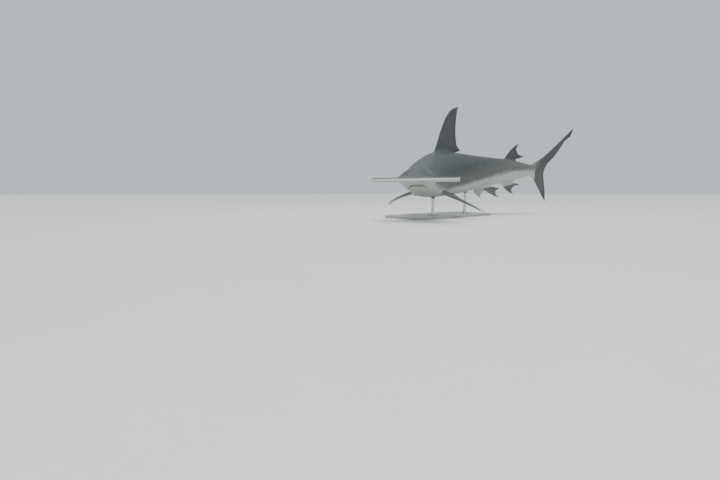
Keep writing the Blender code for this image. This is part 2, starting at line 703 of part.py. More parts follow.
def make_tail_fin(skin):
    """The two lobes, parted along a line from the stalk to the fork."""
    first_share = GAP / 0.30
    bow = np.cos(np.linspace(0, math.pi / 2, TAIL_SIDE_POINTS))
    for name, end in (("tail_fin_upper_lobe", 1), ("tail_fin_lower_lobe", -1)):
        rings = []
        for share in np.linspace(first_share, 1, TAIL_RINGS):
            near = tail_point(share, np.array([FORK_SHARE - 0.01, FORK_SHARE + 0.01]))
            metres_per_share = np.linalg.norm(near[1] - near[0]) / 0.02
            parting = FORK_SHARE + end * GAP / 2 / metres_per_share
            uprights = parting + (end - parting) * bow
            over = np.concatenate((uprights, uprights[:0:-1]))
            sides = np.concatenate((np.ones(TAIL_SIDE_POINTS), -np.ones(TAIL_SIDE_POINTS - 1)))
            rings.append(tail_ring(share, over, sides))
        loft(name, rings, skin, half_marks(len(rings[0])), "blade")


# Stand

def make_base(paint):
    """The flat plate, with round corners."""
    middle = bent([(BASE_STATION, 0, 0)])[0]
    block = bmesh.new()
    bmesh.ops.create_cube(block, size=1.0)
    bmesh.ops.scale(block, vec=(BASE_WIDTH, BASE_LENGTH, BASE_THICKNESS), verts=block.verts)
    bmesh.ops.translate(block, vec=(middle[0], middle[1], BASE_THICKNESS / 2), verts=block.verts)
    plate = mesh_object("stand_base", block, paint)
    weights = plate.data.attributes.new("bevel_weight_edge", "FLOAT", "EDGE")
    for edge in plate.data.edges:
        weights.data[edge.index].value = float(is_upright(plate.data, edge))
    bevel = plate.modifiers.new("round_corners", "BEVEL")
    bevel.limit_method = "WEIGHT"
    bevel.width = BASE_CORNER_RADIUS
    bevel.segments = 8


def make_rods(steel, body):
    """Two upright rods with round feet, each trimmed to the belly that it carries."""
    for name, station in ROD_STATIONS.items():
        place = bent([(station, 0, 0)])[0]
        foot = BASE_THICKNESS + GAP
        top = place[2] + float(belly_height(station)) + ROD_REACH
        outline = (
            (0, top), (ROD_RADIUS, top), (ROD_RADIUS, foot + ROD_FOOT_HEIGHT * 2.2),
            (ROD_RADIUS * 1.35, foot + ROD_FOOT_HEIGHT * 1.35),
            (ROD_FOOT_RADIUS * 0.88, foot + ROD_FOOT_HEIGHT),
            (ROD_FOOT_RADIUS, foot + ROD_FOOT_HEIGHT * 0.6), (ROD_FOOT_RADIUS, foot), (0, foot),
        )
        line = bmesh.new()
        knots = [line.verts.new((radius, 0, height)) for radius, height in outline]
        for upper, lower in zip(knots, knots[1:]):
            line.edges.new((upper, lower))
        rod = mesh_object(f"stand_rod_{name}", line, steel)
        rod.location = (place[0], place[1], 0)
        screw = rod.modifiers.new("turned", "SCREW")
        screw.steps = screw.render_steps = 24
        screw.use_merge_vertices = True
        screw.merge_threshold = 0.0001
        combine(rod, body, "DIFFERENCE")


def is_upright(mesh, edge):
    first, second = (mesh.vertices[index].co for index in edge.vertices)
    return abs(first.z - second.z) > BASE_THICKNESS / 2


def centre_on_origin():
    """Moves the model so that the middle of its box's underside is the origin."""
    bpy.context.view_layer.update()
    corners = []
    for made in SHARK.objects:
        corners += [made.matrix_world @ vertex.co for vertex in made.data.vertices]
    points = np.array(corners)
    middle = (points.min(axis=0) + points.max(axis=0)) / 2
    for made in list(SHARK.objects) + list(CUTTERS.objects):
        made.data.transform(Matrix.Translation((-middle[0], -middle[1], 0)))


def main():
    skin = finish("shark_skin", (0.16, 0.17, 0.15), 0.45)
    glass = finish("eye_glass", (0.02, 0.02, 0.02), 0.08)
    teeth = finish("tooth_enamel", (0.85, 0.83, 0.76), 0.3)
    paint = finish("stand_paint", (0.75, 0.75, 0.73), 0.4)
    steel = finish("stand_steel", (0.6, 0.6, 0.6), 0.3, 1.0)
    body = make_body_cutter(skin)
    make_trunk(skin)
    head = make_head(skin)
    make_mouth(head, skin, teeth)
    make_eyes(head, skin, glass)
    make_fins(skin, body)
    make_tail_fin(skin)
    make_base(paint)
    make_rods(steel, body)
    centre_on_origin()


for old in list(bpy.data.objects):
    bpy.data.objects.remove(old, do_unlink=True)
SHARK = bpy.data.collections.new("hammerhead_shark")
CUTTERS = bpy.data.collections.new("cutters")
bpy.context.scene.collection.children.link(SHARK)
bpy.context.scene.collection.children.link(CUTTERS)
main()
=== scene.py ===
"""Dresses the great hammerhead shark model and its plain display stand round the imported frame.

The animal is modelled straight first, in three measures: the station along the body from the
front of the head, the distance to the animal's left, and the height over the body's axis. The
finished skin is then bent along the spine into the swimming pose. All sizes are in metres.
"""

import logging
import math
from dataclasses import dataclass, field
from enum import Enum

import bmesh
import bpy
import numpy as np
from mathutils import Matrix, Vector
from mathutils.bvhtree import BVHTree
from mathutils.kdtree import KDTree


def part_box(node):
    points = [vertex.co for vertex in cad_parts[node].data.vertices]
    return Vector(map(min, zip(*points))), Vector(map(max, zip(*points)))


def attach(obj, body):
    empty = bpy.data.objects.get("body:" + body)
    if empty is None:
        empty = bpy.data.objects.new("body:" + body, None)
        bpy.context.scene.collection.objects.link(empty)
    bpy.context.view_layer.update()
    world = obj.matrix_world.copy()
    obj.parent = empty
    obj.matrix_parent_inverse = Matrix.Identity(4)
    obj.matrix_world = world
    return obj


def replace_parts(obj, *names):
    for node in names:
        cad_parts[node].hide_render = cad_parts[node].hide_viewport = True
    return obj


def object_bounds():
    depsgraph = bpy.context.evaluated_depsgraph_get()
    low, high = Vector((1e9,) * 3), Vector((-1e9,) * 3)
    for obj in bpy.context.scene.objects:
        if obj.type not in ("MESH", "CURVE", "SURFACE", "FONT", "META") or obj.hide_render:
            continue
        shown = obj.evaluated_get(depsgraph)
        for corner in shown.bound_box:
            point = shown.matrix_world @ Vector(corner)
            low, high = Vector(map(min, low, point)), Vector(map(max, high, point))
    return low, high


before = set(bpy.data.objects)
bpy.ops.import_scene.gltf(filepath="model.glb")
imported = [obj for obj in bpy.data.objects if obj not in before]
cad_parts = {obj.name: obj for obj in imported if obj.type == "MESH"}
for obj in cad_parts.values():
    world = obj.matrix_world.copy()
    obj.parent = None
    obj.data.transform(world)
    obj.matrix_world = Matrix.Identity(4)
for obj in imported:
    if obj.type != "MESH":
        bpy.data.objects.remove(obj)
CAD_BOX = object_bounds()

log = logging.getLogger("hammerhead")
WELD = 0.000001  # points nearer than this are one point
Pairs = tuple[tuple[float, float], ...]


# Lines and profiles

class Curve:
    """A smooth line through a few points, whose slopes come from the neighbouring points."""

    def __init__(self, values: list | tuple, knots: list | None = None) -> None:
        """Args: values: the points in order. knots: where each lies along the line, from 0."""
        self.values = np.array(values, float).reshape(len(values), -1)
        if knots is None:
            steps = np.linalg.norm(np.diff(self.values, axis=0), axis=1)
            knots = np.concatenate(([0.0], np.cumsum(steps))) / steps.sum()
        self.knots = np.array(knots, float)
        gaps = np.diff(self.knots)[:, None]
        rates = np.diff(self.values, axis=0) / gaps
        inner = (rates[:-1] * gaps[1:] + rates[1:] * gaps[:-1]) / (gaps[1:] + gaps[:-1])
        self.slopes = np.vstack((rates[:1], inner, rates[-1:]))

    def at(self, where: np.ndarray | float) -> np.ndarray:
        """Args: where: places along the line. Returns: the points there, one row each."""
        where = np.clip(np.atleast_1d(where), self.knots[0], self.knots[-1])
        index = np.clip(np.searchsorted(self.knots, where, side="right") - 1, 0, len(self.knots) - 2)
        gap = (self.knots[index + 1] - self.knots[index])[:, None]
        t = (where - self.knots[index])[:, None] / gap
        start, end = self.values[index], self.values[index + 1]
        leave, arrive = self.slopes[index] * gap, self.slopes[index + 1] * gap
        return (
            start * (2 * t**3 - 3 * t**2 + 1)
            + leave * (t**3 - 2 * t**2 + t)
            + end * (3 * t**2 - 2 * t**3)
            + arrive * (t**3 - t**2)
        )


class Profile:
    """A size that changes smoothly along one measure."""

    def __init__(self, pairs: Pairs) -> None:
        """Args: pairs: (place, value) pairs in order."""
        self.line = Curve([value for _, value in pairs], [place for place, _ in pairs])

    def __call__(self, where: np.ndarray | float) -> np.ndarray:
        """Args: where: places. Returns: the sizes there, in the same shape."""
        return self.line.at(np.ravel(where))[:, 0].reshape(np.shape(where))


def smooth(value: np.ndarray | float, low: float, high: float) -> np.ndarray:
    """Args: value, low, high. Returns: 0 below low, 1 above high, with a soft step between."""
    share = np.clip((value - low) / (high - low), 0.0, 1.0)
    return share * share * (3 - 2 * share)


def mixed(first: np.ndarray, second: np.ndarray, share: np.ndarray) -> np.ndarray:
    """Args: first, second, share. Returns: first where share is 0 and second where it is 1."""
    return first + (second - first) * share


@dataclass(frozen=True)
class Spine:
    """The swimming pose: how the straight animal is bent and held over the floor."""

    axis_height: float = 0.455
    tail_rise: float = 0.046
    head_heading: float = math.radians(-31.0)
    trunk_turn: float = math.radians(59.5)
    tail_turn: float = math.radians(-19.5)
    trunk_turn_stations: tuple[float, float] = (0.34, 1.97)
    tail_turn_stations: tuple[float, float] = (2.04, 3.23)
    base_station: float = 1.10
    steps: int = 700

    def heading(self, station: np.ndarray | float) -> np.ndarray:
        """Args: station. Returns: the direction towards the tail, from +Y towards +X."""
        return (
            self.head_heading
            + self.trunk_turn * smooth(station, *self.trunk_turn_stations)
            + self.tail_turn * smooth(station, *self.tail_turn_stations)
        )

    def bent(self, points: np.ndarray) -> np.ndarray:
        """Args: points: (station, left, height) rows. Returns: the same places in the pose."""
        stations = np.linspace(-0.2, 3.41, self.steps)
        step = stations[1] - stations[0]
        line_x = np.cumsum(np.sin(self.heading(stations))) * step
        line_y = np.cumsum(np.cos(self.heading(stations))) * step
        low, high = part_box("stand_base")
        line_x += (low.x + high.x) / 2 - np.interp(self.base_station, stations, line_x)
        line_y += (low.y + high.y) / 2 - np.interp(self.base_station, stations, line_y)
        station, left, height = np.asarray(points, float).reshape(-1, 3).T
        angle = self.heading(station)
        x = np.interp(station, stations, line_x) + left * np.cos(angle)
        y = np.interp(station, stations, line_y) - left * np.sin(angle)
        return np.stack((x, y, self.axis_height + self.tail_rise * station + height), axis=1)

    def place(self, station: float, left: float, height: float) -> Vector:
        """Args: station, left, height. Returns: that place in the pose."""
        return Vector(self.bent(np.array([(station, left, height)]))[0])


# Meshes

def new_object(name: str, mesh: bpy.types.Mesh) -> bpy.types.Object:
    """Args: name, mesh. Returns: a new object of the scene that shows the mesh."""
    made = bpy.data.objects.new(name, mesh)
    bpy.context.scene.collection.objects.link(made)
    return made


def mesh_of(name: str, points: np.ndarray, faces: list) -> bpy.types.Mesh:
    """Args: name, points, faces: tuples of point numbers. Returns: a mesh with its normals outwards."""
    mesh = bpy.data.meshes.new(name)
    mesh.from_pydata([tuple(point) for point in points], [], faces)
    grid = bmesh.new()
    grid.from_mesh(mesh)
    bmesh.ops.remove_doubles(grid, verts=grid.verts, dist=WELD)
    bmesh.ops.recalc_face_normals(grid, faces=grid.faces)
    grid.to_mesh(mesh)
    grid.free()
    return mesh


def points_of(mesh: bpy.types.Mesh) -> np.ndarray:
    """Args: mesh. Returns: its vertices as rows."""
    flat = np.empty(len(mesh.vertices) * 3)
    mesh.vertices.foreach_get("co", flat)
    return flat.reshape(-1, 3)


def set_points(mesh: bpy.types.Mesh, points: np.ndarray) -> None:
    """Args: mesh, points: its vertices' new places, as rows."""
    mesh.vertices.foreach_set("co", np.ravel(points))
    mesh.update()


def loft_faces(rings: int, around: int, blade_ends: tuple[bool, bool], edge_at: int = 0) -> list:
    """Faces through rings of points.

    Args: rings: how many. around: points in each. blade_ends: whether each end is closed by
        rungs from face to face, as a thin blade's edge is. edge_at: the ring point on that edge.
    Returns: tuples of point numbers.
    """
    faces = [
        (ring * around + step, ring * around + (step + 1) % around,
         (ring + 1) * around + (step + 1) % around, (ring + 1) * around + step)
        for ring in range(rings - 1) for step in range(around)
    ]
    half = around // 2
    for closed, start in zip(blade_ends, (0, (rings - 1) * around)):
        if not closed:
            continue
        row = [start + (edge_at + step) % around for step in range(around)]
        faces.append((row[0], row[1], row[-1]))
        faces += [(row[k], row[k + 1], row[-k - 1], row[-k]) for k in range(1, half - 1 + around % 2)]
        if around % 2 == 0:
            faces.append((row[half - 1], row[half], row[half + 1]))
    return faces


def near_tree(points: np.ndarray) -> KDTree:
    """Args: points. Returns: a tree that finds the nearest of them."""
    tree = KDTree(len(points))
    for index, point in enumerate(points):
        tree.insert(point, index)
    tree.balance()
    return tree


def distances(points: np.ndarray, targets: np.ndarray) -> np.ndarray:
    """Args: points, targets. Returns: each point's distance to its nearest target."""
    tree = near_tree(targets)
    return np.array([tree.find(point)[2] for point in points])


def relax(mesh: bpy.types.Mesh, weights: np.ndarray, passes: int) -> None:
    """Draws each vertex towards the middle of its neighbours.

    Args: mesh. weights: 0 to 1 for each vertex. passes: how many times.
    """
    ends = np.empty(len(mesh.edges) * 2, int)
    mesh.edges.foreach_get("vertices", ends)
    first, second = ends.reshape(-1, 2).T
    used = (weights[first] > 0) | (weights[second] > 0)
    first, second = first[used], second[used]
    points = points_of(mesh)
    count = len(points)
    valence = np.maximum(np.bincount(first, minlength=count) + np.bincount(second, minlength=count), 1)
    for _ in range(passes):
        for axis in range(3):
            value = points[:, axis]
            total = np.bincount(first, value[second], count) + np.bincount(second, value[first], count)
            points[:, axis] = value + 0.5 * weights * (total / valence - value) * (weights > 0)
    set_points(mesh, points)


class Join(Enum):
    """What a Boolean does with its second mesh."""

    ADD = "UNION"
    CUT = "DIFFERENCE"


def combined(
        target: bpy.types.Object, other: bpy.types.Mesh, how: Join, blend: float, passes: int) -> None:
    """Joins or cuts with another mesh, and rounds the seam that it leaves.

    Args: target: the object that changes. other: the second mesh. how. blend: how far from the
        seam the rounding reaches. passes: how strong it is.
    """
    before = np.vstack((points_of(target.data), points_of(other)))
    helper = new_object("helper", other)
    modifier = target.modifiers.new("join", "BOOLEAN")
    modifier.operation = how.value
    modifier.solver = "MANIFOLD"
    modifier.object = helper
    bpy.context.view_layer.update()
    mesh = bpy.data.meshes.new_from_object(target.evaluated_get(bpy.context.evaluated_depsgraph_get()))
    if len(mesh.vertices) == 0:
        modifier.solver = "EXACT"
        bpy.context.view_layer.update()
        mesh = bpy.data.meshes.new_from_object(
            target.evaluated_get(bpy.context.evaluated_depsgraph_get()))
    target.modifiers.clear()
    target.data = mesh
    bpy.data.objects.remove(helper)
    points = points_of(mesh)
    seam = points[distances(points, before) > 5 * WELD]
    log.info(
        "%s: %s left %d seam points, %d faces", target.name, how.value, len(seam), len(mesh.polygons))
    if not len(seam) or not passes:
        return
    grid = bmesh.new()
    grid.from_mesh(mesh)
    grid.verts.ensure_lookup_table()
    close = distances(points, seam) < blend * 0.5
    bmesh.ops.remove_doubles(
        grid, verts=[grid.verts[index] for index in np.flatnonzero(close)], dist=min(0.0012, blend * 0.1))
    grid.to_mesh(mesh)
    grid.free()
    weights = 1 - smooth(distances(points_of(mesh), seam), blend * 0.35, blend)
    relax(mesh, weights, passes)


# The animal's form

@dataclass(frozen=True)
class BodyForm:
    """The head, trunk and tail, without the paired and upright fins."""

    neck_station: float = 0.442
    stalk_end: float = 2.448
    around: int = 144
    back: Pairs = (
        (0.030, -0.060), (0.100, -0.030), (0.200, -0.002), (0.330, 0.032), (0.442, 0.066),
        (0.578, 0.106), (0.748, 0.165), (0.900, 0.217), (1.120, 0.237), (1.360, 0.229),
        (1.630, 0.198), (1.900, 0.163), (2.110, 0.137), (2.310, 0.092), (2.420, 0.066),
        (2.448, 0.065),
    )
    belly: Pairs = (
        (0.030, -0.076), (0.100, -0.094), (0.240, -0.106), (0.262, -0.112), (0.290, -0.138),
        (0.340, -0.168), (0.442, -0.198), (0.578, -0.234), (0.748, -0.262), (0.900, -0.270),
        (1.120, -0.268), (1.360, -0.254), (1.630, -0.217), (1.900, -0.170), (2.110, -0.137),
        (2.310, -0.097), (2.420, -0.072), (2.448, -0.071),
    )
    half_width: Pairs = (
        (0.442, 0.160), (0.578, 0.186), (0.748, 0.209), (0.900, 0.217), (1.120, 0.215),
        (1.360, 0.198), (1.630, 0.168), (1.900, 0.132), (2.110, 0.100), (2.310, 0.068),
        (2.448, 0.054),
    )
    widest: Pairs = ((0.030, -0.068), (0.240, -0.066), (0.442, -0.048), (0.748, -0.024), (2.448, 0.0))
    wing: Pairs = (
        (0.048, 0.376), (0.078, 0.400), (0.120, 0.411), (0.165, 0.403), (0.196, 0.376),
        (0.214, 0.322), (0.236, 0.252), (0.300, 0.194), (0.442, 0.160),
    )
    front_margin: Pairs = (
        (0.000, 0.027), (0.040, 0.014), (0.130, 0.000), (0.220, 0.004), (0.285, 0.012),
        (0.332, 0.024), (0.376, 0.048),
    )
    wing_top: Pairs = ((0.0, 0.024), (0.25, 0.024), (0.55, 0.016), (1.0, 0.016))
    wing_under: Pairs = ((0.0, 0.020), (0.25, 0.020), (0.55, 0.014), (1.0, 0.014))
    crown_narrowness: float = 9.5
    tail_dorsal: Pairs = ((2.448, 0.065), (2.60, 0.142), (2.80, 0.274), (3.00, 0.408), (3.21, 0.542))
    tail_ventral: Pairs = (
        (2.448, -0.071), (2.505, -0.140), (2.58, -0.245), (2.655, -0.350), (2.710, -0.420),
    )
    tail_rear: Pairs = (
        (2.710, -0.420), (2.700, -0.300), (2.672, -0.160), (2.655, -0.040), (2.690, 0.042),
        (2.815, 0.150), (2.965, 0.296), (3.060, 0.394), (3.128, 0.412), (3.21, 0.542),
    )
    tail_rings: int = 64
    tail_rings_held: int = 16
    tail_passes: int = 60
    edge_rounding: float = 0.022
    tail_taper: float = 0.20
    gill_stations: tuple[float, ...] = (0.560, 0.606, 0.652, 0.698, 0.742)
    gill_middles: tuple[float, ...] = (-0.045, -0.045, -0.045, -0.040, -0.034)
    gill_half_heights: tuple[float, ...] = (0.100, 0.106, 0.106, 0.098, 0.086)
    gill_bow: float = 0.013
    gill_steps: tuple[tuple[float, float, float], ...] = (
        # how far behind the slit, how far that ring is pushed back, how far out
        (-0.024, 0.0, 0.0006), (-0.016, 0.0, 0.0020), (-0.008, 0.001, 0.0042), (-0.003, 0.003, 0.0056),
        (0.000, 0.0045, 0.0060), (0.0006, 0.0044, 0.0044), (0.0012, 0.001, -0.002),
        (0.0020, -0.003, -0.010), (0.0040, -0.001, -0.015), (0.0070, 0.0, -0.009),
        (0.0100, 0.0, -0.002), (0.0150, 0.0, 0.0),
    )
    shade_line: Pairs = (
        (0.0, -0.056), (0.20, -0.060), (0.30, -0.080), (0.442, -0.112), (0.65, -0.150), (0.90, -0.178),
        (1.30, -0.155), (1.70, -0.086), (1.90, -0.042), (2.10, -0.014), (2.448, -0.004), (3.3, 0.0),
    )

    def angles(self) -> np.ndarray:
        """The directions of a ring's points, from the left side over the back."""
        return np.arange(self.around) * 2 * math.pi / self.around

    def shade(self, points: np.ndarray) -> np.ndarray:
        """Args: points. Returns: how far over the line between dark and pale skin each lies."""
        border = 0.0085 + 0.1115 * smooth(points[:, 0], 0.22, 0.62)
        return (points[:, 2] - Profile(self.shade_line)(points[:, 0])) / border

    def head_ring(self, share: float) -> np.ndarray:
        """Args: share: 0 at the front margin, 1 at the neck. Returns: a ring over the hammer."""
        across, lift = np.cos(self.angles()), np.sin(self.angles())
        side_station, half_width = Curve(self.wing).at(share)[0]
        first_station, first_half_width = self.wing[0]
        notch = self.front_margin[0][1]
        middle = notch + (self.neck_station - notch) * share
        arch = across**2
        front = Profile(self.front_margin)(np.abs(across) * first_half_width)
        margin = front - notch - (first_station - notch) * arch
        station = middle + (side_station - middle) * arch + margin * (1 - share) ** 3
        left = half_width * across
        nose = math.sqrt(1 - (1 - min(share / 0.12, 1.0)) ** 2)
        squareness = 10 - 7.8 * smooth(share, 0.45, 1.0)
        rim = np.sqrt(np.clip(1 - np.abs(across) ** squareness, 0, None))
        core = np.exp(-((left * self.crown_narrowness * (1 - smooth(share, 0.50, 0.97))) ** 2))
        level = float(Profile(self.widest)(middle))
        top = float(Profile(self.back)(middle)) - level
        under = level - float(Profile(self.belly)(middle))
        wing_top, wing_under = float(Profile(self.wing_top)(share)), float(Profile(self.wing_under)(share))
        lobe = 0.008 * np.exp(-(((np.abs(left) - 0.383) / 0.035) ** 2))
        lobe = lobe * smooth(share, 0.0, 0.12) * (1 - smooth(share, 0.30, 0.45))
        above = wing_top + (top - wing_top) * core + lobe
        below = wing_under + (under - wing_under) * core + lobe
        height = level + nose * rim * np.where(lift >= 0, above, -below)
        return np.stack((station, left, height), axis=1)

    def trunk_ring(
            self, station: float, back_by: float = 0.0, out_by: float = 0.0, slit: int = 0) -> np.ndarray:
        """A ring round the trunk, flatter under the belly than over the back.

        Args: station. back_by, out_by: how far the ring is moved beside a gill slit. slit: which.
        Returns: the ring's points.
        """
        across, lift = np.cos(self.angles()), np.sin(self.angles())
        level = float(Profile(self.widest)(station))
        above = float(Profile(self.back)(station)) - level
        below = level - float(Profile(self.belly)(station))
        squareness = np.where(lift >= 0, 2.05, 2.45)
        squareness = squareness + (2.2 - squareness) * (1 - smooth(station, self.neck_station, 0.7))
        rim = np.sqrt(np.clip(1 - np.abs(across) ** squareness, 0, None))
        height = level + rim * np.where(lift >= 0, above, -below)
        left = float(Profile(self.half_width)(station)) * across
        along = (height - self.gill_middles[slit]) / self.gill_half_heights[slit]
        upright = np.clip(1 - along**2, 0, 1) ** 0.65
        left = left + across * upright * out_by
        window = smooth(station, 0.50, 0.56) * (1 - smooth(station, 0.76, 0.84))
        bow = -self.gill_bow * np.minimum(along**2, 1.6) * window * np.abs(across)
        return np.stack((station + bow + upright * back_by * np.abs(across), left, height), axis=1)

    def trunk_plan(self) -> list[tuple[float, float, float, int]]:
        """The rings of the trunk in order, as (station, back_by, out_by, slit) rows."""
        rows = [(float(s), 0.0, 0.0, 0) for s in np.arange(self.neck_station + 0.010, 0.532, 0.010)]
        for slit, place in enumerate(self.gill_stations):
            rows += [(place + behind, back_by, out_by, slit) for behind, back_by, out_by in self.gill_steps]
        return rows + [(float(s), 0.0, 0.0, 4) for s in np.linspace(0.766, self.stalk_end, 150)]

    def tail_sheet(self) -> np.ndarray:
        """Returns: half rings in the tail's plane, stalk to rear margin, the upper lobe evened out."""
        quarter = self.around // 4
        last = self.trunk_ring(self.stalk_end)[quarter:3 * quarter + 1]
        low, high = self.tail_ventral[0][1], self.tail_dorsal[0][1]
        lean = np.clip((last[:, 2] - low) / (high - low), 0, 1)[:, None]
        stalk = np.stack((np.full(len(last), self.stalk_end), last[:, 2]), axis=1)
        rear = Curve(self.tail_rear).at(lean[:, 0])
        sheet = []
        for share in self.tail_shares():
            straight_high = mixed(np.array(self.tail_dorsal[0]), np.array(self.tail_dorsal[-1]), share)
            straight_low = mixed(np.array(self.tail_ventral[0]), np.array(self.tail_ventral[-1]), share)
            dorsal, ventral = Curve(self.tail_dorsal).at(share)[0], Curve(self.tail_ventral).at(share)[0]
            plane = mixed(stalk, rear, share) + lean * (dorsal - straight_high)
            sheet.append(plane + (1 - lean) * (ventral - straight_low))
        sheet = np.array(sheet)
        held = self.tail_rings_held
        upper_lobe = smooth(lean[1:-1], 0.55, 0.75)
        for _ in range(self.tail_passes):
            fore_and_aft = sheet[held - 1:-2, 1:-1] + sheet[held + 1:, 1:-1]
            middle = (fore_and_aft + sheet[held:-1, :-2] + sheet[held:-1, 2:]) / 4
            sheet[held:-1, 1:-1] += upper_lobe * (middle - sheet[held:-1, 1:-1])
        return sheet

    def tail_shares(self) -> np.ndarray:
        """How far each ring of the tail lies from the stalk, 0, to the rear margin, 1."""
        return np.linspace(0, 1, self.tail_rings)

    def tail_ring(self, half: np.ndarray, share: float) -> np.ndarray:
        """A whole ring of the tail, with its thickness.

        Args: half: half a ring in the tail's plane. share: 0 at the stalk, 1 at the rear margin.
        Returns: the ring's points.
        """
        quarter = self.around // 4
        plane = np.roll(np.vstack((half, half[-2:0:-1])), quarter, axis=0)
        across = np.cos(self.angles())
        samples = np.linspace(0, 1, 400)
        leading = np.vstack((Curve(self.tail_dorsal).at(samples), Curve(self.tail_ventral).at(samples)))
        trailing = Curve(self.tail_rear).at(samples)
        edge = np.min(np.linalg.norm(plane[:, None] - leading[None], axis=2), axis=1)
        rear_edge = np.min(np.linalg.norm(plane[:, None] - trailing[None], axis=2), axis=1)
        rounding = np.sqrt(1 - (1 - np.clip(edge / self.edge_rounding, 0, 1)) ** 2)
        upright = plane[:, 1] / self.tail_dorsal[-1][1]
        muscle = 0.006 * smooth(upright, 0.0, 0.3) * smooth(rear_edge, 0.0, 0.09)
        blade = rounding * (0.0009 + 0.0105 * np.clip(rear_edge / self.tail_taper, 0, 1) ** 0.8 + muscle)
        narrowing = 1 - 0.75 * float(smooth(share, 0.0, 0.42))
        stalk_width = self.half_width[-1][1] * narrowing * np.abs(across)
        side = np.sign(across) * mixed(stalk_width, blade, smooth(share, 0.02, 0.36))
        side[np.abs(across) < 1e-9] = 0
        return np.stack((plane[:, 0], side, plane[:, 1]), axis=1)

    def rings(self) -> tuple[np.ndarray, np.ndarray]:
        """All rings from the front margin to the tail's rear margin, and each point's finish.

        Returns: the points, ring by ring, and rows of (shade, dusk, flesh) for them.
        """
        nose = 0.12 * (1 - np.cos(np.linspace(0, math.pi / 2, 13)))
        shares = list(nose) + list(np.linspace(0.12, 1, 60)[1:])
        rings = [self.head_ring(float(share)) for share in shares]
        marks = [np.column_stack((self.shade(ring), np.zeros((self.around, 2)))) for ring in rings]
        for station, back_by, out_by, slit in self.trunk_plan():
            ring = self.trunk_ring(station, back_by, out_by, slit)
            along = (ring[:, 2] - self.gill_middles[slit]) / self.gill_half_heights[slit]
            # Inside each slit the skin is marked as flesh, whose near-black colour is partly flesh and
            # partly painted shade in the slit.
            flesh = np.clip(1 - along**2, 0, 1) * smooth(-out_by, 0.0015, 0.0100)
            rings.append(ring)
            marks.append(np.column_stack((self.shade(ring), np.zeros(self.around), flesh)))
        for half, share in list(zip(self.tail_sheet(), self.tail_shares()))[1:]:
            ring = self.tail_ring(half, float(share))
            lobe = 0.9 + 0.5 * smooth(ring[:, 2], -0.05, 0.10)
            shade = mixed(self.shade(ring), lobe, smooth(share, 0.0, 0.32))
            tip = smooth(ring[:, 2], 0.33, 0.52) + smooth(-ring[:, 2], 0.20, 0.40)
            dusk = np.clip(tip + smooth(share, 0.80, 1.0) * 0.7, 0, 1)
            rings.append(ring)
            marks.append(np.column_stack((shade, dusk, np.zeros(self.around))))
        return np.vstack(rings), np.vstack(marks)


class Tone(Enum):
    """How a fin is shaded: its upper or left face, its other face, and how dusky its tip is."""

    DARK = (1.6, 1.6, 0.25)
    PALE_BELOW = (1.1, -0.9, 0.85)
    DUSKY = (0.55, 0.55, 0.7)


@dataclass(frozen=True)
class UprightSeat:
    """Where a fin in the animal's middle plane stands up or hangs down."""

    station: float
    height: float
    up: int

    def place(self, rows: np.ndarray) -> np.ndarray:
        """Args: rows: (back, out, thick) in the fin's plane. Returns: straight places."""
        return np.column_stack((self.station + rows[:, 0], rows[:, 2], self.height + self.up * rows[:, 1]))


@dataclass(frozen=True)
class SideSeat:
    """Where a fin at the animal's side starts, and how it droops outwards."""

    side: int
    station: float
    left: float
    height: float
    droop: float
    curl: float = 0.0

    def place(self, rows: np.ndarray) -> np.ndarray:
        """Args: rows: (back, out, thick) in the fin's plane. Returns: straight places."""
        angle = math.radians(self.droop) + self.curl * rows[:, 1]
        out = rows[:, 1] * np.cos(angle) + rows[:, 2] * np.sin(angle)
        down = rows[:, 1] * np.sin(angle) - rows[:, 2] * np.cos(angle)
        return np.column_stack(
            (self.station + rows[:, 0], self.side * (self.left + out), self.height - down))


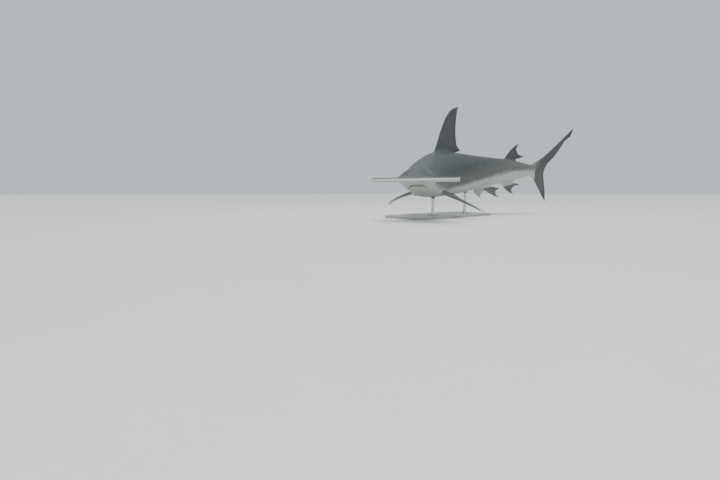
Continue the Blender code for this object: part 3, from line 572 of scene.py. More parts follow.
@dataclass(frozen=True)
class FinPlan:
    """A fin in its own plane: how far back and how far out, from where its front edge starts."""

    name: str
    seat: UprightSeat | SideSeat
    front: Pairs
    inner: Pairs
    rear: Pairs
    thickness: float
    depth: float
    fillet: float
    tone: Tone
    side_points: int = 22
    sections: int = 34
    inner_share: float = 0.16

    def body_line(self, body: BVHTree) -> Profile:
        """Args: body: the straight body. Returns: how far out its surface lies along the fin."""
        reach = 0.35
        backs = np.linspace(-0.03, self.inner[0][0] + 0.12, 24)
        pairs = []
        for back in backs:
            start, end = (
                Vector(self.seat.place(np.array([(back, out, 0.0)]))[0]) for out in (reach, -0.02))
            hit = body.ray_cast(start, (end - start).normalized())
            pairs.append((float(back), reach - hit[3] if hit[0] else -0.03))
        return Profile(tuple(pairs))

    def rings(self, body: BVHTree) -> tuple[np.ndarray, np.ndarray, int]:
        """The fin's rings from its buried root to its tip, widened where it leaves the body.

        Args: body: the straight body.
        Returns: the points, rows of (shade, dusk, flesh, how far out of the body), and how many
            points a ring has.
        """
        lead, inner_line, rear_line = Curve(self.front), Curve(self.inner), Curve(self.rear)
        surface = self.body_line(body)
        inner_share = self.inner_share
        shares = list(np.linspace(0, inner_share, 14))
        shares += list(1 - (1 - inner_share) * np.linspace(1, 0.03, self.sections)[1:] ** 1.35)
        cosines = (1 - np.cos(np.linspace(0, math.pi, self.side_points + 1))) / 2
        x = 0.6 * cosines + 0.4 * np.linspace(0, 1, self.side_points + 1)
        swell = 2.969 * np.sqrt(x) - 1.26 * x - 3.516 * x**2 + 2.843 * x**3 - 1.015 * x**4
        points, marks = [], []
        for share in shares:
            start = lead.at(share)[0]
            if share <= inner_share:
                end = inner_line.at(share / inner_share)[0]
            else:
                end = rear_line.at((share - inner_share) / (1 - inner_share))[0]
            chord = float(np.linalg.norm(end - start))
            half = max(self.thickness * (1 - share) ** 0.75, 0.0015) * min(1.0, chord / 0.06 + 0.25)
            thick = np.maximum(half * swell, 0.0007 * (x > 0))
            flat = start + (end - start) * x[:, None]
            ring = np.vstack((np.column_stack((flat, thick)), np.column_stack((flat, -thick))[:0:-1]))
            away = ring[:, 1] - surface(ring[:, 0])
            near = 1 - np.clip(away / self.fillet, 0, 1)
            spread = self.fillet * (1 - np.sqrt(1 - near**2))
            root_end = self.inner[0][0]
            spread = spread * (1 - smooth(ring[:, 0], root_end - 0.3 * root_end, root_end))
            aside = np.sign(ring[:, 2]) * smooth(np.concatenate((x, x[:0:-1])), 0.0, 0.10)
            ring[:, 2] += spread * aside
            ring[:, 0] -= spread * (1 - np.abs(aside))
            fraction = np.concatenate((x, x[:0:-1]))
            points.append(ring)
            marks.append(
                np.column_stack((np.full(len(ring), share), fraction, np.sign(ring[:, 2]), away)))
        sunk, root = points[0].copy(), points[0].copy()
        sunk[:, 1] -= 0.012
        root[:, 1] -= self.depth
        around = len(points[0])
        rows = np.vstack([root, sunk] + points)
        marks = np.vstack([marks[0], marks[0]] + marks)
        straight = self.seat.place(rows)
        return straight, self.finish_marks(straight, marks), around

    def finish_marks(self, straight: np.ndarray, marks: np.ndarray) -> np.ndarray:
        """Args: straight: places. marks: (share, chord fraction, face, away) rows.

        Returns: rows of (shade, dusk, flesh, away).
        """
        upper, under, tip = self.tone.value
        share, fraction, face, away = marks.T
        side = smooth(fraction, 0.0, 0.07)
        tone = np.where(face >= 0, upper, mixed(np.full(len(share), max(upper, under)), under, side))
        shade = mixed(BodyForm().shade(straight), tone, smooth(away, 0.0, 0.075))
        rear_edge = smooth(fraction, 0.80, 1.0) * 0.55 * smooth(away, 0.02, 0.08)
        dusk = smooth(share, 0.70, 0.98) * tip + rear_edge
        dusk = np.clip(dusk + (face < 0) * (1 - side) * 0.3 * tip, 0, 1)
        return np.column_stack((shade, dusk, np.zeros(len(share)), away))


FIRST_DORSAL = FinPlan(
    "dorsal_fin_first", UprightSeat(0.922, 0.222, 1),
    ((0.0, 0.0), (0.078, 0.140), (0.160, 0.290), (0.235, 0.410), (0.315, 0.492), (0.436, 0.542)),
    ((0.375, 0.0), (0.500, 0.036)),
    ((0.500, 0.036), (0.442, 0.092), (0.418, 0.190), (0.410, 0.300), (0.416, 0.420), (0.436, 0.542)),
    0.021, 0.09, 0.034, Tone.DARK, 26, 44,
)
SECOND_DORSAL = FinPlan(
    "dorsal_fin_second", UprightSeat(2.040, 0.138, 1),
    ((0.0, 0.0), (0.060, 0.085), (0.125, 0.150), (0.205, 0.195)),
    ((0.170, 0.0), (0.288, 0.030)),
    ((0.288, 0.030), (0.195, 0.070), (0.172, 0.120), (0.205, 0.195)),
    0.010, 0.05, 0.018, Tone.DARK,
)
ANAL = FinPlan(
    "anal_fin", UprightSeat(2.010, -0.148, -1),
    ((0.0, 0.0), (0.060, 0.068), (0.125, 0.120), (0.190, 0.148)),
    ((0.185, 0.0), (0.282, 0.036)),
    ((0.282, 0.036), (0.185, 0.060), (0.163, 0.098), (0.190, 0.148)),
    0.009, 0.05, 0.016, Tone.DUSKY,
)


def pectoral(side: int, droop: float) -> FinPlan:
    """Args: side: 1 for left, -1 for right. droop: degrees below level. Returns: that pectoral fin."""
    return FinPlan(
        "pectoral_fin", SideSeat(side, 0.700, 0.139, -0.200, droop, 0.14),
        ((0.0, 0.0), (0.052, 0.150), (0.115, 0.310), (0.190, 0.440), (0.275, 0.530)),
        ((0.215, 0.0), (0.300, 0.095)),
        ((0.300, 0.095), (0.232, 0.190), (0.215, 0.310), (0.235, 0.435), (0.275, 0.530)),
        0.022, 0.10, 0.030, Tone.PALE_BELOW, 24, 42,
    )


def pelvic(side: int) -> FinPlan:
    """Args: side: 1 for left, -1 for right. Returns: that pelvic fin."""
    return FinPlan(
        "pelvic_fin", SideSeat(side, 1.670, 0.080, -0.185, 46.0),
        ((0.0, 0.0), (0.070, 0.090), (0.140, 0.160), (0.205, 0.200)),
        ((0.160, 0.0), (0.265, 0.040)),
        ((0.265, 0.040), (0.195, 0.085), (0.178, 0.135), (0.205, 0.200)),
        0.010, 0.06, 0.018, Tone.PALE_BELOW,
    )


# The mouth

@dataclass(frozen=True)
class Mouth:
    """An arch under the head, with its lower jaw dropped a little."""

    front: float = 0.262
    corner: float = 0.372
    half_width: float = 0.118
    gape: float = 0.022
    power: float = 2.8
    roof: float = -0.086
    jaw_top: float = -0.129

    def arch(self, set_back: float, turns: np.ndarray, narrow: float = 1.0) -> np.ndarray:
        """Args: set_back: behind the upper lip. turns: -1 to 1 across. narrow: of the width.

        Returns: (station, left) rows.
        """
        front = self.front + set_back
        station = front + (self.corner - front) * np.abs(turns) ** self.power
        return np.column_stack((station, self.half_width * narrow * turns))

    def block(self, set_back: float, narrow: float, heights: list[float], rear: float) -> bpy.types.Mesh:
        """Args: set_back, narrow: of the arch in front. heights: its levels. rear: its back end.

        Returns: a closed mesh whose front is the mouth's arch.
        """
        arch = self.arch(set_back, np.linspace(-1, 1, 61), narrow)
        back = [(rear, left) for left in np.linspace(arch[-1][1], arch[0][1], 25)]
        outline = np.vstack((arch, back))
        rings = [np.column_stack((outline, np.full(len(outline), height))) for height in heights]
        count = len(outline)
        faces = loft_faces(len(rings), count, (False, False))
        last = (len(rings) - 1) * count
        faces += [tuple(range(count)), tuple(range(last + count - 1, last - 1, -1))]
        return mesh_of("mouth_block", np.vstack(rings), faces)

    def lip_relief(self, points: np.ndarray) -> np.ndarray:
        """Args: points: straight places. Returns: how far the lips swell out there."""
        turns = np.clip(points[:, 1] / self.half_width, -1, 1)
        upper = self.arch(0.0, turns)[:, 0]
        lower = self.arch(self.gape, turns)[:, 0]
        beyond = np.clip(np.abs(points[:, 1]) / self.half_width - 0.93, 0, None) * 0.25
        ahead = np.hypot(np.minimum(points[:, 0] - (upper - 0.007), 0.02), beyond)
        behind = np.hypot(np.minimum(points[:, 0] - (lower + 0.008), 0.03), beyond)
        return 0.0070 * np.exp(-((ahead / 0.0075) ** 2)) + 0.0075 * np.exp(-((behind / 0.009) ** 2))


# The skin

@dataclass
class Skin:
    """The whole skin as one closed surface, modelled straight and then bent."""

    form: BodyForm = field(default_factory=BodyForm)
    mouth: Mouth = field(default_factory=Mouth)
    spine: Spine = field(default_factory=Spine)
    eye_place: tuple[float, float, float] = (0.118, 0.3980, -0.066)
    eye_radius: float = 0.019
    nostril_place: tuple[float, float, float] = (0.020, 0.325, -0.079)
    nostril_size: tuple[float, float, float] = (0.010, 0.025, 0.0045)
    lid_radius: float = 0.0182
    lid_width: float = 0.0056
    lid_out: float = 0.0075
    left_droop: float = 22.6
    right_droop: float = 15.6
    nodes: tuple[str, ...] = (
        "head", "lower_jaw", "gill_region", "torso_front", "torso_rear", "tail_stalk",
        "tail_fin_upper_lobe", "tail_fin_lower_lobe", "dorsal_fin_first", "dorsal_fin_second",
        "anal_fin", "pectoral_fin_left", "pectoral_fin_right", "pelvic_fin_left", "pelvic_fin_right",
    )
    cloud: list = field(default_factory=list)

    def body(self) -> bpy.types.Object:
        """The head, trunk and tail in one, with a finer net of faces and raised lips round the mouth."""
        points, marks = self.form.rings()
        around = self.form.around
        faces = loft_faces(len(points) // around, around, (False, True), around // 4)
        made = new_object("shark_skin", mesh_of("shark_skin", points, faces))
        self.cloud.append((points, marks))
        grid = bmesh.new()
        grid.from_mesh(made.data)

        def detailed(vertex: bmesh.types.BMVert) -> bool:
            """Args: vertex. Returns: whether it lies round the mouth, an eye or a nostril."""
            station, left, height = vertex.co
            mouth = 0.225 < station < 0.425 and abs(left) < 0.165 and height < -0.085
            spots = (self.eye_place, 0.045), (self.nostril_place, 0.045)
            close = any(math.dist((station, abs(left), height), place) < reach for place, reach in spots)
            return mouth or close

        edges = [edge for edge in grid.edges if all(detailed(vertex) for vertex in edge.verts)]
        bmesh.ops.subdivide_edges(grid, edges=edges, cuts=2, use_grid_fill=True)
        grid.to_mesh(made.data)
        grid.free()
        places = points_of(made.data)
        low = (places[:, 2] < -0.085) & (places[:, 0] > 0.22) & (places[:, 0] < 0.43)
        places[low, 2] -= self.mouth.lip_relief(places[low])
        set_points(made.data, places)
        front = places[places[:, 0] < 0.43]
        self.cloud.append((front, np.column_stack((self.form.shade(front), np.zeros((len(front), 2))))))
        return made

    def add_fins(self, made: bpy.types.Object) -> None:
        """Args: made: the body, which the fins join."""
        graph = bpy.context.evaluated_depsgraph_get()
        body = BVHTree.FromObject(made, graph)
        plans = [FIRST_DORSAL, SECOND_DORSAL, ANAL]
        plans += [pectoral(1, self.left_droop), pectoral(-1, self.right_droop), pelvic(1), pelvic(-1)]
        for plan in plans:
            points, marks, around = plan.rings(body)
            faces = loft_faces(len(points) // around, around, (True, True))
            outside = marks[:, 3] > -0.004
            self.cloud.append((points[outside], marks[outside, :3]))
            reach = plan.fillet * 0.8
            combined(made, mesh_of(plan.name, points, faces), Join.ADD, reach, 24)

    def cut_mouth(self, made: bpy.types.Object) -> None:
        """Args: made: the skin, which gets an open mouth."""
        mouth = self.mouth
        levels = list(np.linspace(mouth.jaw_top, mouth.roof, 9))
        cavity = mouth.block(0.0, 0.94, levels, mouth.corner)
        combined(made, cavity, Join.CUT, 0.006, 6)
        drop = list(np.linspace(mouth.jaw_top - 0.09, mouth.jaw_top + 0.002, 20))
        gap = new_object("gap", mouth.block(0.0, 1.0, drop, mouth.corner + 0.004))
        combined(gap, mouth.block(mouth.gape, 0.985, [drop[0] - 0.01] + drop[1:-1] + [drop[-1] + 0.01],
                                  mouth.corner + 0.02), Join.CUT, 0.0, 0)
        cut = gap.data
        bpy.data.objects.remove(gap)
        combined(made, cut, Join.CUT, 0.0075, 8)
        # The mouth's inside is marked as flesh too: near black, partly flesh colour and partly painted
        # shade in the cavity.
        inside = np.array([vertex.co for vertex in cavity.vertices if vertex.co.z > mouth.jaw_top + 0.030])
        self.cloud.append((inside, np.tile((0.0, 0.0, 1.0), (len(inside), 1))))

    def ball(self, place: tuple, size: tuple, segments: int = 32) -> bpy.types.Mesh:
        """Args: place, size: middle and half sizes. segments. Returns: a closed egg shape."""
        grid = bmesh.new()
        bmesh.ops.create_uvsphere(grid, u_segments=segments, v_segments=segments // 2, radius=1.0)
        turn = Matrix.Rotation(math.pi / 2, 4, "X")
        bmesh.ops.transform(
            grid, matrix=Matrix.Translation(place) @ Matrix.Diagonal((*size, 1.0)) @ turn, verts=grid.verts)
        mesh = bpy.data.meshes.new("ball")
        grid.to_mesh(mesh)
        grid.free()
        return mesh

    def eyelid(self, place: tuple, radius: float, width: float) -> bpy.types.Mesh:
        """Args: place: its middle. radius, width: of the ring. Returns: a ring round the eye."""
        steps, count = 48, 12
        turns = np.linspace(0, 2 * math.pi, steps + 1)[:-1]
        rounds = np.linspace(0, 2 * math.pi, count + 1)[:-1]
        rings = []
        for turn in turns:
            reach = radius + width * np.cos(rounds)
            rings.append(np.column_stack((
                place[0] + reach * math.cos(turn),
                place[1] + 0.8 * width * np.sin(rounds),
                place[2] + 0.93 * reach * math.sin(turn),
            )))
        points = np.vstack(rings)
        faces = [
            (a * count + b, a * count + (b + 1) % count, (a + 1) % steps * count + (b + 1) % count,
             (a + 1) % steps * count + b)
            for a in range(steps) for b in range(count)
        ]
        return mesh_of("eyelid", points, faces)

    def cut_sockets(self, made: bpy.types.Object) -> None:
        """Args: made: the skin, which gets eyelids, eye sockets and nostrils."""
        station, half_width, height = self.eye_place
        for side in (1, -1):
            lid_place = (station, side * (half_width + self.lid_out), height)
            lid = self.eyelid(lid_place, self.lid_radius, self.lid_width)
            combined(made, lid, Join.ADD, 0.007, 10)
            socket = self.ball((station, side * half_width, height), (self.eye_radius + 0.0002,) * 3, 40)
            combined(made, socket, Join.CUT, 0.0, 0)
            nose_station, nose_left, nose_height = self.nostril_place
            slit = self.ball((nose_station, side * nose_left, nose_height), self.nostril_size, 24)
            combined(made, slit, Join.CUT, 0.004, 8)
            inner = np.array([vertex.co for vertex in slit.vertices])
            self.cloud.append((inner, np.tile((0.4, 0.55, 0.0), (len(inner), 1))))

    def mark(self, made: bpy.types.Object) -> None:
        """Args: made: the straight skin, whose vertices get the values that its finish reads."""
        places = np.vstack([points for points, _ in self.cloud])
        values = np.vstack([marks for _, marks in self.cloud])
        tree = near_tree(places)
        straight = points_of(made.data)
        found = np.zeros((len(straight), 3))
        for index, point in enumerate(straight):
            near = tree.find_n(point, 3)
            shares = np.array([1 / (distance + 0.0005) ** 2 for _, _, distance in near])
            found[index] = shares @ values[[number for _, number, _ in near]] / shares.sum()
        mesh = made.data
        for name, column in (("shade", found[:, 0]), ("dusk", found[:, 1]), ("flesh", found[:, 2])):
            mesh.attributes.new(name, "FLOAT", "POINT").data.foreach_set("value", column)
        along = mesh.attributes.new("along", "FLOAT_VECTOR", "POINT")
        along.data.foreach_set("vector", np.ravel(straight))

    def make(self, material: bpy.types.Material) -> bpy.types.Object:
        """Args: material. Returns: the finished skin, which stands for all the soft solids."""
        made = self.body()
        self.add_fins(made)
        self.cut_mouth(made)
        self.cut_sockets(made)
        self.mark(made)
        set_points(made.data, self.spine.bent(points_of(made.data)))
        made.data.materials.clear()
        made.data.materials.append(material)
        for polygon in made.data.polygons:
            polygon.use_smooth = True
        made.data.set_sharp_from_angle(angle=math.radians(55))
        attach(made, "root")
        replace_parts(made, *self.nodes)
        return made


# Finishes

class Wire:
    """A node's output, on which Python's arithmetic adds Math nodes."""

    def __init__(self, sheet: "Sheet", socket: bpy.types.NodeSocket) -> None:
        """Args: sheet: the material's nodes. socket: the output."""
        self.sheet, self.socket = sheet, socket

    def __add__(self, other: "Wire | float") -> "Wire":
        """Their sum."""
        return self.sheet.maths("ADD", self, other)

    def __radd__(self, other: float) -> "Wire":
        """Their sum."""
        return self.sheet.maths("ADD", other, self)

    def __sub__(self, other: "Wire | float") -> "Wire":
        """Their difference."""
        return self.sheet.maths("SUBTRACT", self, other)

    def __rsub__(self, other: float) -> "Wire":
        """Their difference, the other way round."""
        return self.sheet.maths("SUBTRACT", other, self)

    def __mul__(self, other: "Wire | float") -> "Wire":
        """Their product."""
        return self.sheet.maths("MULTIPLY", self, other)

    def __rmul__(self, other: float) -> "Wire":
        """Their product."""
        return self.sheet.maths("MULTIPLY", other, self)

    def step(self, low: float, high: float) -> "Wire":
        """Args: low, high. Returns: 0 at low, 1 at high, with a soft step between."""
        rising = high > low
        node = self.sheet.node(
            "ShaderNodeMapRange", {"interpolation_type": "SMOOTHSTEP"},
            {"Value": self, "From Min": min(low, high), "From Max": max(low, high),
             "To Min": 0.0 if rising else 1.0, "To Max": 1.0 if rising else 0.0},
        )
        return Wire(self.sheet, node.outputs["Result"])


class VectorWire(Wire):
    """A node's vector output, on which Python's arithmetic adds Vector Math nodes."""

    def __mul__(self, other: "VectorWire | tuple") -> "VectorWire":
        """Their product, part by part."""
        node = self.sheet.node("ShaderNodeVectorMath", {"operation": "MULTIPLY"}, {0: self, 1: other})
        return VectorWire(self.sheet, node.outputs["Vector"])

    def parts(self) -> tuple[Wire, Wire, Wire]:
        """Its x, y and z."""
        node = self.sheet.node("ShaderNodeSeparateXYZ", {}, {"Vector": self})
        return tuple(Wire(self.sheet, node.outputs[axis]) for axis in "XYZ")


Colour = tuple[float, float, float]


class Sheet:
    """The nodes of one material."""

    def __init__(self, name: str) -> None:
        """Args: name: the material's."""
        self.material = bpy.data.materials.new(name)
        self.material.use_nodes = True
        self.tree = self.material.node_tree
        self.shader = next(node for node in self.tree.nodes if node.type == "BSDF_PRINCIPLED")

    def node(self, kind: str, settings: dict, inputs: dict) -> bpy.types.Node:
        """Adds a node.

        Args: kind: its type. settings: its properties, set first. inputs: values or wires, by
            the names or numbers of its sockets.
        Returns: the node.
        """
        made = self.tree.nodes.new(kind)
        for name, value in settings.items():
            setattr(made, name, value)
        for name, value in inputs.items():
            self.feed(made.inputs[name], value)
        return made

    def feed(self, socket: bpy.types.NodeSocket, value: object) -> None:
        """Args: socket: an input. value: a wire, or what it is set to."""
        if isinstance(value, Wire):
            self.tree.links.new(value.socket, socket)
        elif isinstance(value, tuple) and socket.type == "RGBA" and len(value) == 3:
            socket.default_value = (*value, 1.0)
        else:
            socket.default_value = value

    def maths(self, operation: str, first: "Wire | float", second: "Wire | float") -> Wire:
        """Args: operation. first, second. Returns: the two put together by a Math node."""
        node = self.node("ShaderNodeMath", {"operation": operation}, {0: first, 1: second})
        return Wire(self, node.outputs["Value"])

    def attribute(self, name: str, vector: bool = False) -> Wire:
        """Args: name: of a value kept on the mesh. vector: whether it is one. Returns: its wire."""
        node = self.node("ShaderNodeAttribute", {"attribute_name": name}, {})
        return VectorWire(self, node.outputs["Vector"]) if vector else Wire(self, node.outputs["Fac"])

    def position(self) -> VectorWire:
        """The place on the object, in metres."""
        node = self.node("ShaderNodeTexCoord", {}, {})
        return VectorWire(self, node.outputs["Object"])

    def noise(self, place: VectorWire, scale: float, detail: float = 3.0, rough: float = 0.5) -> Wire:
        """Args: place. scale: bumps a metre. detail, rough: of it. Returns: noise about one half."""
        node = self.node(
            "ShaderNodeTexNoise", {"noise_dimensions": "3D"},
            {"Vector": place, "Scale": scale, "Detail": detail, "Roughness": rough},
        )
        return Wire(self, node.outputs[0])

    def cells(self, place: VectorWire, scale: float) -> Wire:
        """Args: place. scale: cells a metre. Returns: the distance from the middle of each cell."""
        node = self.node("ShaderNodeTexVoronoi", {"feature": "F1"}, {"Vector": place, "Scale": scale})
        return Wire(self, node.outputs["Distance"])

    def blend(self, share: Wire | float, first: Wire | Colour, second: Wire | Colour) -> Wire:
        """Args: share. first, second: colours. Returns: the first at 0, the second at 1."""
        node = self.node("ShaderNodeMix", {"data_type": "RGBA"}, {"Factor": share})
        for name, value in (("A_Color", first), ("B_Color", second)):
            self.feed(next(socket for socket in node.inputs if socket.identifier == name), value)
        return Wire(self, next(socket for socket in node.outputs if socket.identifier == "Result_Color"))

    def bump(self, height: Wire, depth: float, strength: float) -> Wire:
        """Args: height: 0 to 1. depth: metres from 0 to 1. strength. Returns: the bent normal."""
        node = self.node("ShaderNodeBump", {}, {"Height": height, "Distance": depth, "Strength": strength})
        return Wire(self, node.outputs["Normal"])

    def dress(self, **sockets: object) -> bpy.types.Material:
        """Args: sockets: the shader's, with _ for a blank. Returns: the material."""
        for name, value in sockets.items():
            self.feed(self.shader.inputs[name.replace("_", " ")], value)
        return self.material


@dataclass(frozen=True)
class SharkSkin:
    """Dark slate above and pale grey below, mottled, with a fine rough grain."""

    back: Colour = (0.040, 0.050, 0.054)
    flank: Colour = (0.100, 0.106, 0.096)
    # The pale belly colour is set darker than the real pale skin, so the underside's shade is partly
    # painted into it.
    belly: Colour = (0.43, 0.455, 0.41)
    dusky: Colour = (0.036, 0.042, 0.046)
    # inner: the near-black insides of the mouth and gill slits, partly flesh colour and partly painted
    # shade.
    inner: Colour = (0.040, 0.018, 0.017)
    pore: Colour = (0.16, 0.15, 0.14)
    worn_back: Colour = (0.19, 0.19, 0.165)
    worn_belly: Colour = (0.42, 0.42, 0.38)
    scratch: Colour = (0.30, 0.30, 0.27)
    pore_cells: float = 130.0
    scale_cells: float = 420.0
    relief_depth: float = 0.0012

    def make(self) -> bpy.types.Material:
        """Returns: the material."""
        sheet = Sheet("shark_skin")
        along = sheet.attribute("along", vector=True)
        station, _, height = along.parts()
        streaks = sheet.noise(along * (3.0, 9.0, 9.0), 1.0, 4.0, 0.6)
        blotches = sheet.noise(along, 22.0, 3.0)
        speckle = sheet.noise(along, 180.0, 2.0)
        ragged = (streaks - 0.5) * 0.55 + (blotches - 0.5) * 0.35 + (speckle - 0.5) * 0.2
        line = sheet.attribute("shade") + ragged
        colour = sheet.blend(line.step(-0.30, 0.26), self.belly, self.flank)
        colour = sheet.blend(line.step(0.25, 1.7), colour, self.back)
        worn = (blotches * 0.6 + speckle * 0.4).step(0.42, 0.70)
        faded = sheet.blend(line.step(-0.2, 0.4), self.worn_belly, self.worn_back)
        colour = sheet.blend(worn * 0.22, colour, faded)
        dusk = (sheet.attribute("dusk") + (blotches - 0.5) * 0.5).step(0.25, 0.85)
        colour = sheet.blend(dusk * 0.85, colour, self.dusky)
        scratches = sheet.noise(along * (7.0, 110.0, 140.0), 1.0, 1.0).step(0.755, 0.80)
        scratches = scratches * sheet.noise(along, 3.0, 1.0).step(0.56, 0.68)
        colour = sheet.blend(scratches * 0.4, colour, self.scratch)
        under_head = station.step(0.36, 0.28) * (height + 0.066).step(0.0, -0.012)
        patches = sheet.noise(along, 9.0, 2.0).step(0.45, 0.60)
        pores = sheet.cells(along, self.pore_cells).step(0.17, 0.09) * under_head * patches
        colour = sheet.blend(pores * 0.75, colour, self.pore)
        # The flesh mark turns the insides of the mouth and gill slits near black: flesh colour with painted
        # shade in them.
        flesh = sheet.attribute("flesh")
        colour = sheet.blend(flesh.step(0.25, 0.75), colour, self.inner)
        grain = sheet.cells(along * (1.0, 1.3, 1.3), self.scale_cells)
        folds = sheet.noise(along * (22.0, 60.0, 60.0), 1.0, 3.0, 0.6)
        relief = grain * 0.35 + folds * 0.9 + blotches * 0.5 - pores * 1.2 - scratches * 0.5
        rough = 0.42 + speckle * 0.12 + blotches * 0.08 - flesh * 0.2
        return sheet.dress(
            Base_Color=colour, Roughness=rough, Coat_Weight=0.12, Coat_Roughness=0.28,
            Normal=sheet.bump(relief, self.relief_depth, 0.55), IOR=1.42,
        )


@dataclass(frozen=True)
class Plain:
    """A finish of one colour with fine unevenness in its colour, gloss and surface."""

    name: str
    colour: Colour
    spread: float
    roughness: float
    metallic: float = 0.0
    coat: float = 0.0
    grain: tuple[float, float, float] = (60.0, 60.0, 60.0)
    depth: float = 0.0003

    def make(self) -> bpy.types.Material:
        """Returns: the material."""
        sheet = Sheet(self.name)
        place = sheet.position()
        cloud = sheet.noise(place, 6.0, 4.0)
        grain = sheet.noise(place * self.grain, 1.0, 4.0, 0.6)
        dark = tuple(part * (1 - self.spread) for part in self.colour)
        light = tuple(min(part * (1 + self.spread), 1.0) for part in self.colour)
        colour = sheet.blend((cloud * 0.5 + grain * 0.5).step(0.3, 0.7), dark, light)
        rough = self.roughness + (grain - 0.5) * 0.2 + (cloud - 0.5) * 0.1
        return sheet.dress(
            Base_Color=colour, Roughness=rough, Metallic=self.metallic, Coat_Weight=self.coat,
            Coat_Roughness=0.15, Normal=sheet.bump(grain, self.depth, 0.6),
        )


@dataclass(frozen=True)
class EyeGlaze:
    """A glossy eye: a dark pupil, a streaked iris with a pale inner ring, and a dark rim."""

    pupil: Colour = (0.003, 0.003, 0.004)
    inner: Colour = (0.36, 0.35, 0.27)
    iris: Colour = (0.13, 0.125, 0.095)
    rim: Colour = (0.012, 0.012, 0.012)

    def make(self) -> bpy.types.Material:
        """Returns: the material."""
        sheet = Sheet("eye_glaze")
        fibres = sheet.noise(sheet.position(), 700.0, 3.0)
        ring = sheet.attribute("ring") + (fibres - 0.5) * 0.02
        iris = sheet.blend(ring.step(0.50, 0.62), self.inner, self.iris)
        iris = sheet.blend(fibres.step(0.62, 0.40) * 0.6, iris, self.rim)
        colour = sheet.blend(ring.step(0.46, 0.49), self.pupil, iris)
        colour = sheet.blend(ring.step(0.70, 0.82), colour, self.rim)
        return sheet.dress(
            Base_Color=colour, Roughness=0.08 + fibres * 0.05, Coat_Weight=1.0, Coat_Roughness=0.03)


# The eyes, the teeth and the stand

@dataclass
class Eyes:
    """An eyeball at each end of the hammer."""

    skin: Skin

    def make(self, material: bpy.types.Material) -> None:
        """Args: material."""
        station, half_width, height = self.skin.eye_place
        for name, side in (("left", 1), ("right", -1)):
            mesh = self.skin.ball((station, side * half_width, height), (self.skin.eye_radius,) * 3, 56)
            points = points_of(mesh) - np.array((station, side * half_width, height))
            swell = smooth(points[:, 1] * side / self.skin.eye_radius, 0.80, 1.0)
            points[:, 1] += side * 0.0012 * swell
            off = np.hypot(points[:, 0], points[:, 2] * 0.92) / self.skin.eye_radius
            ring = np.where(points[:, 1] * side > 0, off, 1.0)
            mesh.attributes.new("ring", "FLOAT", "POINT").data.foreach_set("value", ring)
            set_points(mesh, self.skin.spine.bent(points + np.array((station, side * half_width, height))))
            made = new_object(f"eyeball_{name}", mesh)
            mesh.materials.append(material)
            for polygon in mesh.polygons:
                polygon.use_smooth = True
            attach(made, "root")
            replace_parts(made, f"eye_{name}")
            log.info("%s made", made.name)


